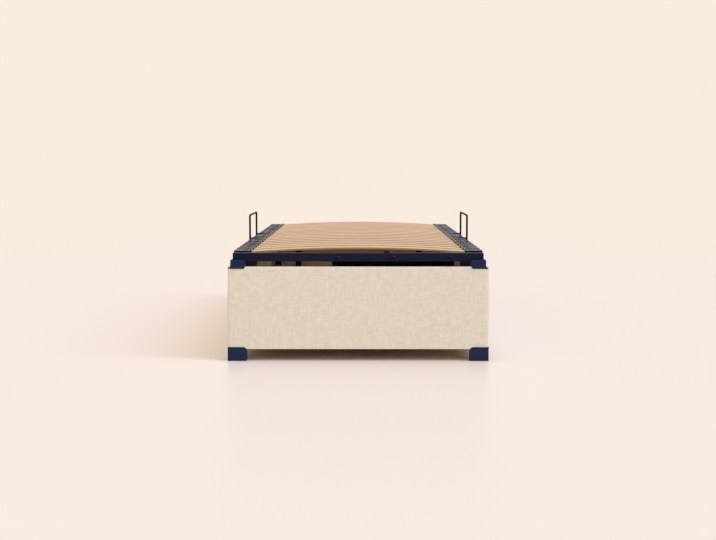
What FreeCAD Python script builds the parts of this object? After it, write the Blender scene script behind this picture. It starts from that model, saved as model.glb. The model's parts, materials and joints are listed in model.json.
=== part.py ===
import FreeCAD, Part
import math
import os

# A single lift-up storage bed base, in millimetres.
# The origin is on the floor under the middle of the bed.
# +X is to the right seen from the foot end, +Y points to the head end, +Z is up.

Vector = FreeCAD.Vector

# Slat deck frame
deck_width = 900.0
deck_length = 2000.0
deck_gap = 18.0
deck_corner_radius = 5.0
rail_width = 30.0
rail_height = 31.0
rail_wall = 2.0
rail_round = 4.0
crossbar_width = 30.0
crossbar_height = 20.0

# Bowed slats and the holders on the side rails
slat_width = 68.0
slat_thickness = 8.0
slat_crown = 16.7
slat_tip_drop = 7.0
slat_clearance = 0.3
slat_end_margin = 35.5
slat_holder_gap = 33.0
holder_reach = 35.0
holder_stop = 2.0
holder_cheek = 3.7
holder_floor = 3.0
holder_rise = 5.2
holder_corner_radius = 8.0
holder_mouth_radius = 3.0

# Upholstered panels of the box
panel_overhang = 16.5
panel_height = 297.0
panel_lift = 42.0
board_thickness = 16.0
cover_thickness = 4.0
cover_edge = 3.0
cover_round = 3.0
cover_return = 38.0
cover_return_thickness = 1.0
cover_cutout_gap = 0.5

# Corner mouldings: feet below, caps above
moulding_proud = 2.2
moulding_corner_round = 3.0
foot_leg = 67.6
foot_depth = 34.0
foot_overlap = 8.0
foot_round = 12.0
foot_screw_seat = 4.0
foot_screw_bore = 6.0
foot_screw_share = 0.72
glide_thickness = 1.2
glide_inset = 0.5
cap_setback = 4.7
cap_leg = 59.0
cap_depth = 42.0
cap_overlap = 7.2
cap_round = 7.0
cap_inset = 6.6
cap_end_flare = (-3.1, 3.7)
cap_face_flare = (0.6, 4.0)
cap_flare_hollow = 0.3
cap_lip_rise = 6.2
cap_lip_clearance = 0.8
cap_top_round = 2.0
cap_end_round = 8.0
rear_cap_roof = 5.0
rear_cap_chamfer = 3.0

# Floor of the storage box
ledge_section = 22.0
ledge_lift = 2.0
bearer_width = 40.0
floor_board_count = 3
floor_board_thickness = 6.0
floor_board_gap = 1.5

# Steel brackets and wood screws of the box
corner_bracket_leg = 32.0
corner_bracket_height = 180.0
corner_bracket_thickness = 3.0
corner_screw_shares = (-0.35, 0.35)
screw_radius = 2.1
screw_length = 12.0
screw_head_radius = 4.5
screw_head_height = 2.5
screw_clearance = 0.1
headboard_hole_span = 628.0
headboard_hole_rise = 120.0
headboard_hole_radius = 4.5
headboard_plate_width = 28.0
headboard_plate_thickness = 4.0
headboard_plate_height = 200.0
headboard_screw_margin = 15.0

# Steel flats that stiffen the front half of the side panels
stiffener_height = 62.0
stiffener_thickness = 3.0
stiffener_drop = 17.0
stiffener_start_gap = 40.0
stiffener_end_gap = 55.0
stiffener_screw_shares = (0.06, 0.5, 0.94)

# Hinge between the box and the deck
hinge_setback = 20.0
hinge_rise = 17.0
hinge_plate_thickness = 4.0
hinge_leg_width = 60.0
hinge_leg_offset = 35.0
hinge_leg_drop = 89.0
hinge_screw_shares = ((0.5, 0.83), (0.25, 0.28), (0.75, 0.28))
hinge_side_gap = 1.0
ear_radius = 16.0
pivot_radius = 6.0
pivot_head_radius = 10.0
pivot_head_height = 6.0
pivot_head_gap = 0.3
pivot_collar_radius = 8.5
pivot_collar_thickness = 5.0
running_clearance = 0.05

# Gas struts: the pivots lie on one circle about the hinge axis
deck_open_angle = 45.0
strut_pivot_radius = 186.0
strut_deck_drop = 42.0
strut_base_setback = 40.0
strut_inset = 16.0
strut_tube_radius = 11.0
strut_tube_wall = 2.0
strut_tube_end_wall = 3.0
strut_gland_length = 8.0
strut_gland_clearance = 0.1
strut_rod_radius = 5.0
strut_rod_show = 28.0
strut_piston_length = 10.0
strut_piston_clearance = 0.4
strut_piston_margin = 14.0
strut_neck_radius = 5.0
strut_neck_length = 3.0
strut_eye_radius = 12.0
strut_eye_thickness = 10.0
strut_eye_side_gap = 0.3
strut_slot_play = 3.5
stud_radius = 4.0
stud_collar_radius = 8.0
stud_head_radius = 8.5
stud_head_thickness = 2.5
lug_thickness = 4.0
lug_half_width = 20.0
lug_weld_height = 20.0
lug_round = 14.0
anchor_plate_thickness = 4.0
anchor_plate_width = 40.0
anchor_plate_height = 64.0
anchor_screw_margin = 8.0

# Mattress retainer loops at mid length
retainer_first_share = 0.39
retainer_slat_count = 3
retainer_rod_radius = 4.0
retainer_rise = 101.0
retainer_bend_radius = 10.0
retainer_weld_bite = 0.5
retainer_post_drop = 26.0
retainer_bracket_width = 25.0
retainer_bracket_thickness = 3.0
retainer_bracket_lip = 8.8
retainer_bracket_drop = 30.0

# Grip plate, its bolts and the rubber buffer on the foot rail
grip_plate_length = 440.0
grip_plate_centre = 126.0
grip_plate_thickness = 3.0
grip_plate_drop = 22.0
grip_plate_top_margin = 4.0
grip_bolt_shares = (-0.45, 0.0, 0.46)
grip_bolt_height = 13.5
bolt_radius = 3.0
bolt_head_radius = 6.0
bolt_head_height = 3.5
bolt_nut_radius = 5.5
bolt_nut_height = 5.0
bolt_clearance = 0.1
buffer_centre = 102.0
buffer_width = 19.0
buffer_depth = 20.0
buffer_height = 6.0
buffer_round = 2.0

# Length by which a cutting tool runs past the faces that it opens
overrun = 5.0

# Levels and faces worked out from the sizes above
box_half_width = deck_width / 2 + panel_overhang
box_half_length = deck_length / 2 + panel_overhang
panel_thickness = cover_thickness + board_thickness + cover_return_thickness
inner_half_width = box_half_width - panel_thickness
inner_half_length = box_half_length - panel_thickness
board_half_width = inner_half_width + cover_return_thickness
board_half_length = inner_half_length + cover_return_thickness
panel_top = panel_lift + panel_height
rail_bottom = panel_top + deck_gap
rail_top = rail_bottom + rail_height
rail_inner = deck_width / 2 - rail_width
holder_width = slat_width + 2 * (slat_clearance + holder_cheek)
holder_inner = rail_inner - holder_reach
holder_mouth_bend = min(holder_mouth_radius, holder_reach - holder_stop, holder_width / 2 - holder_stop)
slat_half_span = rail_inner - holder_stop - slat_clearance
slat_tip_bottom = rail_top - slat_tip_drop
slat_row = deck_length - 2 * slat_end_margin - holder_width
slat_count = round(slat_row / (holder_width + slat_holder_gap)) + 1
slat_pitch = slat_row / (slat_count - 1)
retainer_first_gap = round(slat_count * retainer_first_share)
retainer_last_gap = retainer_first_gap + retainer_slat_count
hinge_y = deck_length / 2 - hinge_setback
hinge_z = rail_bottom + hinge_rise
moulding_x = box_half_width + moulding_proud
moulding_y = box_half_length + moulding_proud
cap_x = moulding_x - cap_setback


def box(low, high):
    size = [b - a for a, b in zip(low, high)]
    return Part.makeBox(*size, Vector(*low))


def polygon_face(points):
    return Part.Face(Part.makePolygon([Vector(*p) for p in points] + [Vector(*points[0])]))


def cut_all(shape, tools):
    return shape.cut(Part.makeCompound(tools))


def mirror_x(shape):
    return shape.mirror(Vector(0, 0, 0), Vector(1, 0, 0))


def mirror_y(shape):
    return shape.mirror(Vector(0, 0, 0), Vector(0, 1, 0))


def pair(shape):
    return [shape, mirror_x(shape)]


def placed(shape, turn, x, y, z):
    moved = shape.copy()
    moved.rotate(Vector(0, 0, 0), Vector(0, 0, 1), turn)
    moved.translate(Vector(x, y, z))
    return moved


def round_edges(shape, radius, wanted):
    edges = [e for e in shape.Edges if wanted(e)]
    return shape.makeFillet(radius, edges)


def is_upright(edge):
    direction = edge.tangentAt(edge.FirstParameter)
    return abs(direction.z) > abs(direction.x) + abs(direction.y)


def runs_along_x(edge):
    direction = edge.tangentAt(edge.FirstParameter)
    return abs(direction.x) > abs(direction.y) + abs(direction.z)


def cross_rod(radius, x0, x1, y, z):
    """A round bar along X."""
    return Part.makeCylinder(radius, x1 - x0, Vector(x0, y, z), Vector(1, 0, 0))


# Fasteners

def wood_screw(seat, direction):
    """A pan-head screw: seat is the point under the head, direction the way that it goes in."""
    way = Vector(*direction)
    start = Vector(*seat)
    shank = Part.makeCylinder(screw_radius, screw_length, start, way)
    head = Part.makeCylinder(screw_head_radius, screw_head_height, start, way * -1)
    return head.fuse(shank).removeSplitter()


def screw_hole(seat, direction):
    return Part.makeCylinder(screw_radius + screw_clearance, screw_length + screw_clearance,
                             Vector(*seat), Vector(*direction))


def through_bolt(seat, direction, grip):
    """A button-head bolt with its nut: grip is the thickness held between the two."""
    way = Vector(*direction)
    start = Vector(*seat)
    head = Part.makeCylinder(bolt_head_radius, bolt_head_height, start, way * -1)
    shank = Part.makeCylinder(bolt_radius, grip + bolt_nut_height, start, way)
    nut = Part.makeCylinder(bolt_nut_radius, bolt_nut_height, start + way * grip, way)
    return head.fuse([shank, nut]).removeSplitter()


def bolt_hole(seat, direction, grip):
    way = Vector(*direction)
    return Part.makeCylinder(bolt_radius + bolt_clearance, grip + 2 * overrun,
                             Vector(*seat) - way * overrun, way)


# Upholstered panels

def panel_board(width):
    """A panel's board in its own frame: outer face of the panel at y = 0, lower edge at z = 0."""
    half = width / 2 - cover_edge
    return box((-half, cover_thickness, cover_edge),
               (half, cover_thickness + board_thickness, panel_height - cover_edge))


def panel_cover(width):
    """Padded fabric over the outer face and the edges, with a border turned in behind the board."""
    half = width / 2
    envelope = box((-half, 0, 0), (half, panel_thickness, panel_height))
    rounded = round_edges(envelope, min(cover_round, cover_thickness / 2),
                          lambda e: e.BoundBox.YMax < cover_thickness)
    window = box((-half + cover_return, panel_thickness - cover_return_thickness, cover_return),
                 (half - cover_return, panel_thickness + overrun, panel_height - cover_return))
    return rounded.cut(panel_board(width)).cut(window)


def box_panels():
    """Boards and covers of the foot, head, right and left panels, by node name."""
    end_width = 2 * box_half_width
    side_width = 2 * inner_half_length
    places = {
        "foot_panel": (end_width, 0, 0, -box_half_length),
        "head_panel": (end_width, 180, 0, box_half_length),
        "right_panel": (side_width, 90, box_half_width, 0),
        "left_panel": (side_width, -90, -box_half_width, 0),
    }
    pieces = {}
    for name, (width, turn, x, y) in places.items():
        pieces[name + "_board"] = placed(panel_board(width), turn, x, y, panel_lift)
        pieces[name + "_cover"] = placed(panel_cover(width), turn, x, y, panel_lift)
    return pieces


# Corner mouldings, modelled at the front right corner

def arc(start, middle, end):
    return Part.Arc(Vector(*start), Vector(*middle), Vector(*end)).toShape()


def line(start, end):
    return Part.makeLine(Vector(*start), Vector(*end))


def corner_block(front_edges, side_edges, leg, corner_x):
    """The shape with one outline seen from the foot end and the other seen from the side."""
    front, side = [Part.Face(Part.Wire(Part.__sortEdges__(edges))).extrude(Vector(0, leg, 0))
                   for edges in (front_edges, side_edges)]
    return front.common(side.mirror(Vector(corner_x, -moulding_y, 0), Vector(1, 1, 0)))


def quarter(centre_x, centre_z, radius, from_x, from_z):
    """End points and middle of a quarter arc between an x direction and a z direction."""
    diagonal = radius * math.sqrt(0.5)
    y = -moulding_y
    start = (centre_x + from_x * radius, y, centre_z)
    middle = (centre_x + from_x * diagonal, y, centre_z + from_z * diagonal)
    end = (centre_x, y, centre_z + from_z * radius)
    return start, middle, end


def inner_square(depth, low, high):
    """The space inside the two legs of a moulding."""
    return box((0, -moulding_y + depth, low), (moulding_x - depth, 0, high))


def corner_foot():
    bottom = glide_thickness
    top = panel_lift + foot_overlap
    inner = moulding_x - foot_leg
    y = -moulding_y
    bend = quarter(inner + foot_round, top - foot_round, foot_round, -1, 1)
    edges = [
        line((moulding_x, y, bottom), (moulding_x, y, top)),
        line((moulding_x, y, top), bend[2]),
        arc(*bend),
        line(bend[0], (inner, y, bottom)),
        line((inner, y, bottom), (moulding_x, y, bottom)),
    ]
    block = corner_block(edges, edges, foot_leg, moulding_x)
    block = round_edges(block, moulding_corner_round, on_outer_corner)
    panels = box((0, -box_half_length, panel_lift), (box_half_width, 0, top + overrun))
    bores = []
    for x, y, _ in foot_screw_seats():
        bores.append(Part.makeCylinder(foot_screw_bore, panel_lift - foot_screw_seat, Vector(x, y, 0)))
    return cut_all(block, [inner_square(foot_depth, 0, top + overrun), panels] + bores)


def on_outer_corner(edge):
    """The upright edge where the two outer faces of a moulding meet."""
    middle = edge.BoundBox.Center
    near = moulding_x - middle.x < overrun and middle.y + moulding_y < overrun
    return near and is_upright(edge)


def cap_inner_edges(inner, bottom, top, end_round):
    """The leg's end with its two rounded corners; returns the edges and where the top starts."""
    bend = quarter(inner + cap_round, bottom + cap_round, cap_round, -1, -1)
    shoulder = quarter(inner + end_round, top - end_round, end_round, -1, 1)
    y = -moulding_y
    edges = [
        arc(*shoulder),
        line(shoulder[0], bend[0]),
        arc(*bend),
        line(bend[2], (cap_x, y, bottom)),
    ]
    return edges, shoulder[2]


def seated_cap(block, top):
    """Opens a cap over the tops of the panels and inside its two legs."""
    panels = box((0, -box_half_length, 0), (box_half_width, 0, panel_top))
    return cut_all(block, [inner_square(cap_depth, 0, top + overrun), panels])


def front_cap_edges(flare):
    """Outline of a front cap whose skirt flares out between these two levels about the panel's top."""
    bottom = panel_top - cap_overlap
    top = rail_bottom + cap_lip_rise
    body_x = cap_x - cap_inset
    y = -moulding_y
    low, high = flare
    crown = quarter(body_x - cap_top_round, top - cap_top_round, cap_top_round, 1, 1)
    flare_low = (cap_x, y, panel_top + low)
    flare_middle = (body_x + cap_flare_hollow * cap_inset, y,
                    panel_top + low + cap_flare_hollow * (high - low))
    flare_high = (body_x, y, panel_top + high)
    edges, top_start = cap_inner_edges(cap_x - cap_leg, bottom, top, cap_end_round)
    return edges + [
        line((cap_x, y, bottom), flare_low),
        arc(flare_low, flare_middle, flare_high),
        line(flare_high, crown[0]),
        arc(*crown),
        line(crown[2], top_start),
    ]


def front_cap():
    """A cap with a ledge for the deck's corner, an upstanding lip and a skirt that flares out."""
    top = rail_bottom + cap_lip_rise
    block = corner_block(front_cap_edges(cap_end_flare), front_cap_edges(cap_face_flare), cap_leg, cap_x)
    seat = box((0, -deck_length / 2 - cap_lip_clearance, rail_bottom),
               (deck_width / 2 + cap_lip_clearance, 0, top + overrun))
    return seated_cap(block, top).cut(seat)


def rear_cap():
    """A low cap that leaves room for the head rail to swing."""
    bottom = panel_top - cap_overlap
    top = panel_top + rear_cap_roof
    inner = cap_x - cap_leg
    y = -moulding_y
    shoulder = (cap_x, y, top - rear_cap_chamfer)
    rim = (cap_x - rear_cap_chamfer, y, top)
    edges, top_start = cap_inner_edges(inner, bottom, top, rear_cap_chamfer / 2)
    edges += [
        line((cap_x, y, bottom), shoulder),
        line(shoulder, rim),
        line(rim, top_start),
    ]
    return mirror_y(seated_cap(corner_block(edges, edges, cap_leg, cap_x), top))


def foot_glides():
    """Pads under the four feet, a little inside the outline of each foot."""
    outer_x = moulding_x - glide_inset
    outer_y = -moulding_y + glide_inset
    leg = foot_leg - 2 * glide_inset
    pad = box((outer_x - leg, outer_y, 0), (outer_x, outer_y + leg, glide_thickness))
    pad = pad.cut(inner_square(foot_depth - glide_inset, -overrun, glide_thickness + overrun))
    pad = cut_all(pad, [Part.makeCylinder(foot_screw_bore, glide_thickness, Vector(x, y, 0))
                        for x, y, _ in foot_screw_seats()])
    front = pair(pad)
    return Part.makeCompound(front + [mirror_y(p) for p in front])


# Storage box fittings

def foot_screw_seats():
    """Where the two screws of the front right foot go up into the boards."""
    along = foot_leg * foot_screw_share
    z = panel_lift - foot_screw_seat
    board_middle = cover_thickness + board_thickness / 2
    return [(moulding_x - along, -box_half_length + board_middle, z),
            (box_half_width - board_middle, -moulding_y + along, z)]


def corner_bracket():
    """The front right angle bracket, inside the corner of the box."""
    middle = panel_lift + panel_height / 2
    low = middle - corner_bracket_height / 2
    high = middle + corner_bracket_height / 2
    outer = box((inner_half_width - corner_bracket_leg, -inner_half_length, low),
                (inner_half_width, -inner_half_length + corner_bracket_leg, high))
    inside = box((0, -inner_half_length + corner_bracket_thickness, low - overrun),
                 (inner_half_width - corner_bracket_thickness, 0, high + overrun))
    return outer.cut(inside)


def corner_screw_seats():
    """Seats and directions of the front right bracket's screws, two in each leg."""
    middle = panel_lift + panel_height / 2
    in_leg = (corner_bracket_leg + corner_bracket_thickness) / 2
    seats = []
    for share in corner_screw_shares:
        z = middle + share * corner_bracket_height
        on_end = (inner_half_width - in_leg, -inner_half_length + corner_bracket_thickness, z)
        on_side = (inner_half_width - corner_bracket_thickness, -inner_half_length + in_leg, z)
        seats += [(on_end, (0, -1, 0)), (on_side, (1, 0, 0))]
    return seats


def side_stiffener():
    """The flat on the right side panel, from near the foot panel to short of mid length."""
    top = panel_top - stiffener_drop
    return box((inner_half_width - stiffener_thickness, -inner_half_length + stiffener_start_gap,
                top - stiffener_height),
               (inner_half_width, -stiffener_end_gap, top))


def stiffener_screw_seats():
    start = -inner_half_length + stiffener_start_gap
    length = -stiffener_end_gap - start
    x = inner_half_width - stiffener_thickness
    z = panel_top - stiffener_drop - stiffener_height / 2
    return [((x, start + share * length, z), (1, 0, 0)) for share in stiffener_screw_shares]


def floor_supports():
    """Ledges along the side panels and bearers across, under the joints of the floor boards."""
    low = panel_lift + ledge_lift
    high = low + ledge_section
    ledge = box((inner_half_width - ledge_section, -inner_half_length, low),
                (inner_half_width, inner_half_length, high))
    reach = inner_half_width - ledge_section
    bearers = []
    for n in range(1, floor_board_count):
        y = -inner_half_length + 2 * inner_half_length * n / floor_board_count
        bearers.append(box((-reach, y - bearer_width / 2, low), (reach, y + bearer_width / 2, high)))
    return Part.makeCompound(pair(ledge) + bearers)


def floor_boards():
    low = panel_lift + ledge_lift + ledge_section
    half = inner_half_width - floor_board_gap
    bay = 2 * inner_half_length / floor_board_count
    boards = []
    for n in range(floor_board_count):
        start = -inner_half_length + n * bay
        boards.append(box((-half, start + floor_board_gap, low),
                          (half, start + bay - floor_board_gap, low + floor_board_thickness)))
    return Part.makeCompound(boards)


def headboard_holes():
    """Bolt holes for a headboard, through the head panel and the two plates behind it."""
    middle = panel_lift + panel_height / 2
    length = box_half_length - board_half_length + headboard_plate_thickness + 2 * overrun
    start = board_half_length - headboard_plate_thickness - overrun
    holes = []
    for x in (-headboard_hole_span / 2, headboard_hole_span / 2):
        for z in (middle - headboard_hole_rise / 2, middle + headboard_hole_rise / 2):
            mouth = Vector(x, start, z)
            holes.append(Part.makeCylinder(headboard_hole_radius, length, mouth, Vector(0, 1, 0)))
    return holes


def headboard_plate(margin):
    """The right plate on the head panel's board, grown by a margin along the board."""
    middle = panel_lift + panel_height / 2
    x = headboard_hole_span / 2
    half_width = headboard_plate_width / 2 + margin
    half_height = headboard_plate_height / 2 + margin
    return box((x - half_width, board_half_length - headboard_plate_thickness, middle - half_height),
               (x + half_width, board_half_length, middle + half_height))


def headboard_screw_seats():
    middle = panel_lift + panel_height / 2
    reach = headboard_plate_height / 2 - headboard_screw_margin
    y = board_half_length - headboard_plate_thickness
    return [((headboard_hole_span / 2, y, middle + side * reach), (0, 1, 0)) for side in (-1, 1)]


# Hinge

def hinge_bracket():
    """The right bracket: a leg inside the side panel, a flange over its edge and the ear for the pivot."""
    rear = hinge_y - hinge_leg_offset
    front = rear - hinge_leg_width
    ear_in = deck_width / 2 + hinge_side_gap
    ear_out = ear_in + hinge_plate_thickness
    leg = box((inner_half_width - hinge_plate_thickness, front, panel_top - hinge_leg_drop),
              (inner_half_width, rear, panel_top + hinge_plate_thickness))
    flange = box((inner_half_width - hinge_plate_thickness, front, panel_top),
                 (ear_out, rear, panel_top + hinge_plate_thickness))
    upright = box((ear_in, front, panel_top), (ear_out, rear, hinge_z + ear_radius))
    arm = box((ear_in, front, hinge_z - ear_radius), (ear_out, hinge_y, hinge_z + ear_radius))
    eye = cross_rod(ear_radius, ear_in, ear_out, hinge_y, hinge_z)
    plate = leg.fuse([flange, upright, arm, eye]).removeSplitter()
    hole = cross_rod(pivot_radius + running_clearance, ear_in - overrun, ear_out + overrun, hinge_y, hinge_z)
    return plate.cut(hole)


def hinge_bolt():
    """The right pivot bolt, fixed in the side rail by a collar inside the tube."""
    head_in = deck_width / 2 + hinge_side_gap + hinge_plate_thickness + pivot_head_gap
    wall_in = deck_width / 2 - rail_wall
    tail = wall_in - pivot_collar_thickness
    shank = cross_rod(pivot_radius, tail, head_in, hinge_y, hinge_z)
    head = cross_rod(pivot_head_radius, head_in, head_in + pivot_head_height, hinge_y, hinge_z)
    collar = cross_rod(pivot_collar_radius, tail, wall_in, hinge_y, hinge_z)
    return shank.fuse([head, collar]).removeSplitter()


def hinge_rail_hole():
    return cross_rod(pivot_radius + running_clearance, deck_width / 2 - rail_wall - running_clearance,
                     deck_width / 2 + overrun, hinge_y, hinge_z)


def hinge_screw_seats():
    """Three screws through the right bracket's leg, as shares of its width and its drop."""
    front = hinge_y - hinge_leg_offset - hinge_leg_width
    x = inner_half_width - hinge_plate_thickness
    return [((x, front + across * hinge_leg_width, panel_top - down * hinge_leg_drop), (1, 0, 0))
            for across, down in hinge_screw_shares]


# Gas struts, modelled on the right

strut_x = rail_inner - strut_inset
deck_stud_y = hinge_y - math.sqrt(strut_pivot_radius ** 2 - strut_deck_drop ** 2)
deck_stud_z = hinge_z - strut_deck_drop
base_stud_y = hinge_y - strut_base_setback
base_stud_z = hinge_z - math.sqrt(strut_pivot_radius ** 2 - strut_base_setback ** 2)
strut_length = math.hypot(deck_stud_y - base_stud_y, deck_stud_z - base_stud_z)
closed_spread = 2 * math.asin(strut_length / (2 * strut_pivot_radius))
open_spread = closed_spread + math.radians(deck_open_angle)
strut_stroke = 2 * strut_pivot_radius * math.sin(open_spread / 2) - strut_length
strut_way = Vector(0, deck_stud_y - base_stud_y, deck_stud_z - base_stud_z) / strut_length
strut_tube_end = strut_length - strut_eye_radius - strut_rod_show


def along_strut(distance):
    return Vector(strut_x, base_stud_y, base_stud_z) + strut_way * distance


def strut_bar(radius, start, end):
    return Part.makeCylinder(radius, end - start, along_strut(start), strut_way)


def strut_eye(distance):
    centre = along_strut(distance)
    half = strut_eye_thickness / 2
    return cross_rod(strut_eye_radius, strut_x - half, strut_x + half, centre.y, centre.z)


def strut_cylinder():
    """The tube with its closed lower end, the eye on the box's stud and the gland for the rod."""
    tube_start = strut_eye_radius + strut_neck_length
    tube = strut_bar(strut_tube_radius, tube_start, strut_tube_end)
    bore = strut_bar(strut_tube_radius - strut_tube_wall, tube_start + strut_tube_end_wall,
                     strut_tube_end - strut_gland_length)
    mouth = strut_bar(strut_rod_radius + strut_gland_clearance, tube_start + strut_tube_end_wall,
                      strut_tube_end + overrun)
    neck = strut_bar(strut_neck_radius, 0, tube_start)
    body = tube.cut(bore).cut(mouth).fuse([neck, strut_eye(0)]).removeSplitter()
    hole = cross_rod(stud_radius + running_clearance, strut_x - strut_eye_thickness,
                     strut_x + strut_eye_thickness, base_stud_y, base_stud_z)
    return body.cut(hole)


def strut_rod():
    """The piston rod. Its eye has a slot along the strut, because the deck's stud floats in it."""
    piston_start = strut_eye_radius + strut_neck_length + strut_piston_margin
    rod = strut_bar(strut_rod_radius, piston_start, strut_length)
    piston = strut_bar(strut_tube_radius - strut_tube_wall - strut_piston_clearance,
                       piston_start, piston_start + strut_piston_length)
    body = rod.fuse([piston, strut_eye(strut_length)]).removeSplitter()
    return body.cut(rod_eye_slot())


def rod_eye_slot():
    """A slot as wide as the stud with room each way, and longer along the strut by the play."""
    radius = stud_radius + strut_eye_side_gap
    side = strut_way.cross(Vector(1, 0, 0))
    back = along_strut(strut_length - strut_slot_play)
    front = along_strut(strut_length + strut_slot_play)
    corners = [back - side * radius, front - side * radius, front + side * radius, back + side * radius]
    flat = polygon_face([tuple(c) for c in corners]).extrude(Vector(2 * strut_eye_thickness, 0, 0))
    ends = [Part.makeCylinder(radius, 2 * strut_eye_thickness, p, Vector(1, 0, 0)) for p in (back, front)]
    slot = flat.fuse(ends).removeSplitter()
    slot.translate(Vector(-strut_eye_thickness, 0, 0))
    return slot


def strut_stud(outer_x, y, z):
    """A stud that points inwards, with a collar outside the eye and a head inside it."""
    eye_out = strut_x + strut_eye_thickness / 2 + strut_eye_side_gap
    eye_in = strut_x - strut_eye_thickness / 2 - strut_eye_side_gap
    collar = cross_rod(stud_collar_radius, eye_out, outer_x, y, z)
    pin = cross_rod(stud_radius, eye_in - stud_head_thickness, outer_x, y, z)
    head = cross_rod(stud_head_radius, eye_in - stud_head_thickness, eye_in, y, z)
    return [collar, pin, head]


def strut_lug():
    """The plate under the right side rail that carries the deck's stud."""
    plate_in = rail_inner - lug_thickness
    plate = box((plate_in, deck_stud_y - lug_half_width, rail_bottom - lug_thickness),
                (rail_inner, deck_stud_y + lug_half_width, rail_bottom + lug_weld_height))
    tail = box((plate_in, deck_stud_y - lug_round, deck_stud_z),
               (rail_inner, deck_stud_y + lug_round, rail_bottom))
    tip = cross_rod(lug_round, plate_in, rail_inner, deck_stud_y, deck_stud_z)
    return plate.fuse([tail, tip] + strut_stud(plate_in, deck_stud_y, deck_stud_z)).removeSplitter()


def anchor_plate(margin):
    """The plate on the right side panel's board, grown by a margin along the board."""
    half_width = anchor_plate_width / 2 + margin
    half_height = anchor_plate_height / 2 + margin
    plate_in = board_half_width - anchor_plate_thickness
    return box((plate_in, base_stud_y - half_width, base_stud_z - half_height),
               (board_half_width, base_stud_y + half_width, base_stud_z + half_height))


def strut_anchor():
    """The anchor plate with the stud for the strut's lower eye."""
    stud = strut_stud(board_half_width - anchor_plate_thickness, base_stud_y, base_stud_z)
    return anchor_plate(0).fuse(stud).removeSplitter()


def anchor_screw_seats():
    x = board_half_width - anchor_plate_thickness
    reach = anchor_plate_height / 2 - anchor_screw_margin
    return [((x, base_stud_y, base_stud_z + side * reach), (1, 0, 0)) for side in (-1, 1)]


# Deck frame

def mitred_rail(length):
    """A tube with rounded edges along X, its outer face at y = 0 and both ends cut at 45 degrees."""
    def plan(outer, inner, low, high):
        half = length / 2
        points = [(outer - half, outer, low), (half - outer, outer, low),
                  (half - inner, inner, low), (inner - half, inner, low)]
        return polygon_face(points).extrude(Vector(0, 0, high - low))
    solid = round_edges(plan(0, rail_width, 0, rail_height), rail_round, runs_along_x)
    hollow = plan(rail_wall, rail_width - rail_wall, rail_wall, rail_height - rail_wall)
    return solid.cut(hollow)


def deck_rails():
    """The four mitred rails by node name, with the deck's outer corners rounded."""
    outline = box((-deck_width / 2, -deck_length / 2, rail_bottom),
                  (deck_width / 2, deck_length / 2, rail_top))
    outline = round_edges(outline, deck_corner_radius, is_upright)
    places = {
        "foot_rail": (deck_width, 0, 0, -deck_length / 2),
        "head_rail": (deck_width, 180, 0, deck_length / 2),
        "right_side_rail": (deck_length, 90, deck_width / 2, 0),
        "left_side_rail": (deck_length, -90, -deck_width / 2, 0),
    }
    return {name: placed(mitred_rail(length), turn, x, y, rail_bottom).common(outline)
            for name, (length, turn, x, y) in places.items()}


def mid_crossbar():
    def bar(margin, reach):
        return box((-reach, margin - crossbar_width / 2, rail_bottom + margin),
                   (reach, crossbar_width / 2 - margin, rail_bottom + crossbar_height - margin))
    return bar(0, rail_inner).cut(bar(rail_wall, rail_inner + overrun))


def slat_y(index):
    return (index - (slat_count - 1) / 2) * slat_pitch


def gap_y(number):
    """Middle of the gap after the slat with this number, counted from the foot end."""
    return (number - slat_count / 2) * slat_pitch


def slat(margin):
    """A bowed slat at y = 0, grown by a margin on every side."""
    half = slat_half_span + margin
    y = -slat_width / 2 - margin
    low = slat_tip_bottom - margin
    high = slat_tip_bottom + slat_thickness + margin
    edges = [
        arc((-half, y, low), (0, y, low + slat_crown), (half, y, low)),
        line((half, y, low), (half, y, high)),
        arc((half, y, high), (0, y, high + slat_crown), (-half, y, high)),
        line((-half, y, high), (-half, y, low)),
    ]
    return Part.Face(Part.Wire(edges)).extrude(Vector(0, slat_width + 2 * margin, 0))


def slat_holder():
    """The right holder at y = 0: a plate on the rail and a pocket for the slat's tip."""
    y = -holder_width / 2
    outer = deck_width / 2
    low = slat_tip_bottom - slat_clearance - holder_floor
    high = rail_top + holder_rise
    points = [(outer, y, rail_top), (outer, y, high), (holder_inner, y, high),
              (holder_inner, y, low), (rail_inner, y, low), (rail_inner, y, rail_top)]
    body = polygon_face(points).extrude(Vector(0, holder_width, 0))
    body = round_edges(body, holder_corner_radius, lambda e: is_upright(e) and stands_at(e, outer))
    body = round_edges(body, holder_mouth_bend, lambda e: is_upright(e) and stands_at(e, holder_inner))
    return body.cut(slat(slat_clearance))


def stands_at(edge, x):
    return abs(edge.BoundBox.Center.x - x) < holder_stop


def repeated(shape):
    copies = []
    for index in range(slat_count):
        copy = shape.copy()
        copy.translate(Vector(0, slat_y(index), 0))
        copies.append(copy)
    return copies


# Mattress retainers, modelled on the right

def retainer_rod_x():
    return deck_width / 2 + retainer_bracket_thickness + retainer_rod_radius - retainer_weld_bite


def retainer():
    """A bent rod on two angle brackets, all welded into one piece."""
    x = retainer_rod_x()
    first = gap_y(retainer_first_gap)
    last = gap_y(retainer_last_gap)
    foot = rail_top - retainer_post_drop
    top = rail_top + retainer_rise
    bend = retainer_bend_radius
    diagonal = bend * (1 - math.sqrt(0.5))
    path = Part.Wire([
        line((x, first, foot), (x, first, top - bend)),
        arc((x, first, top - bend), (x, first + diagonal, top - diagonal), (x, first + bend, top)),
        line((x, first + bend, top), (x, last - bend, top)),
        arc((x, last - bend, top), (x, last - diagonal, top - diagonal), (x, last, top - bend)),
        line((x, last, top - bend), (x, last, foot)),
    ])
    section = Part.Wire(Part.makeCircle(retainer_rod_radius, Vector(x, first, foot)))
    rod = path.makePipeShell([section], True, False)
    return rod.fuse([retainer_bracket(first), retainer_bracket(last)]).removeSplitter()


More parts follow.
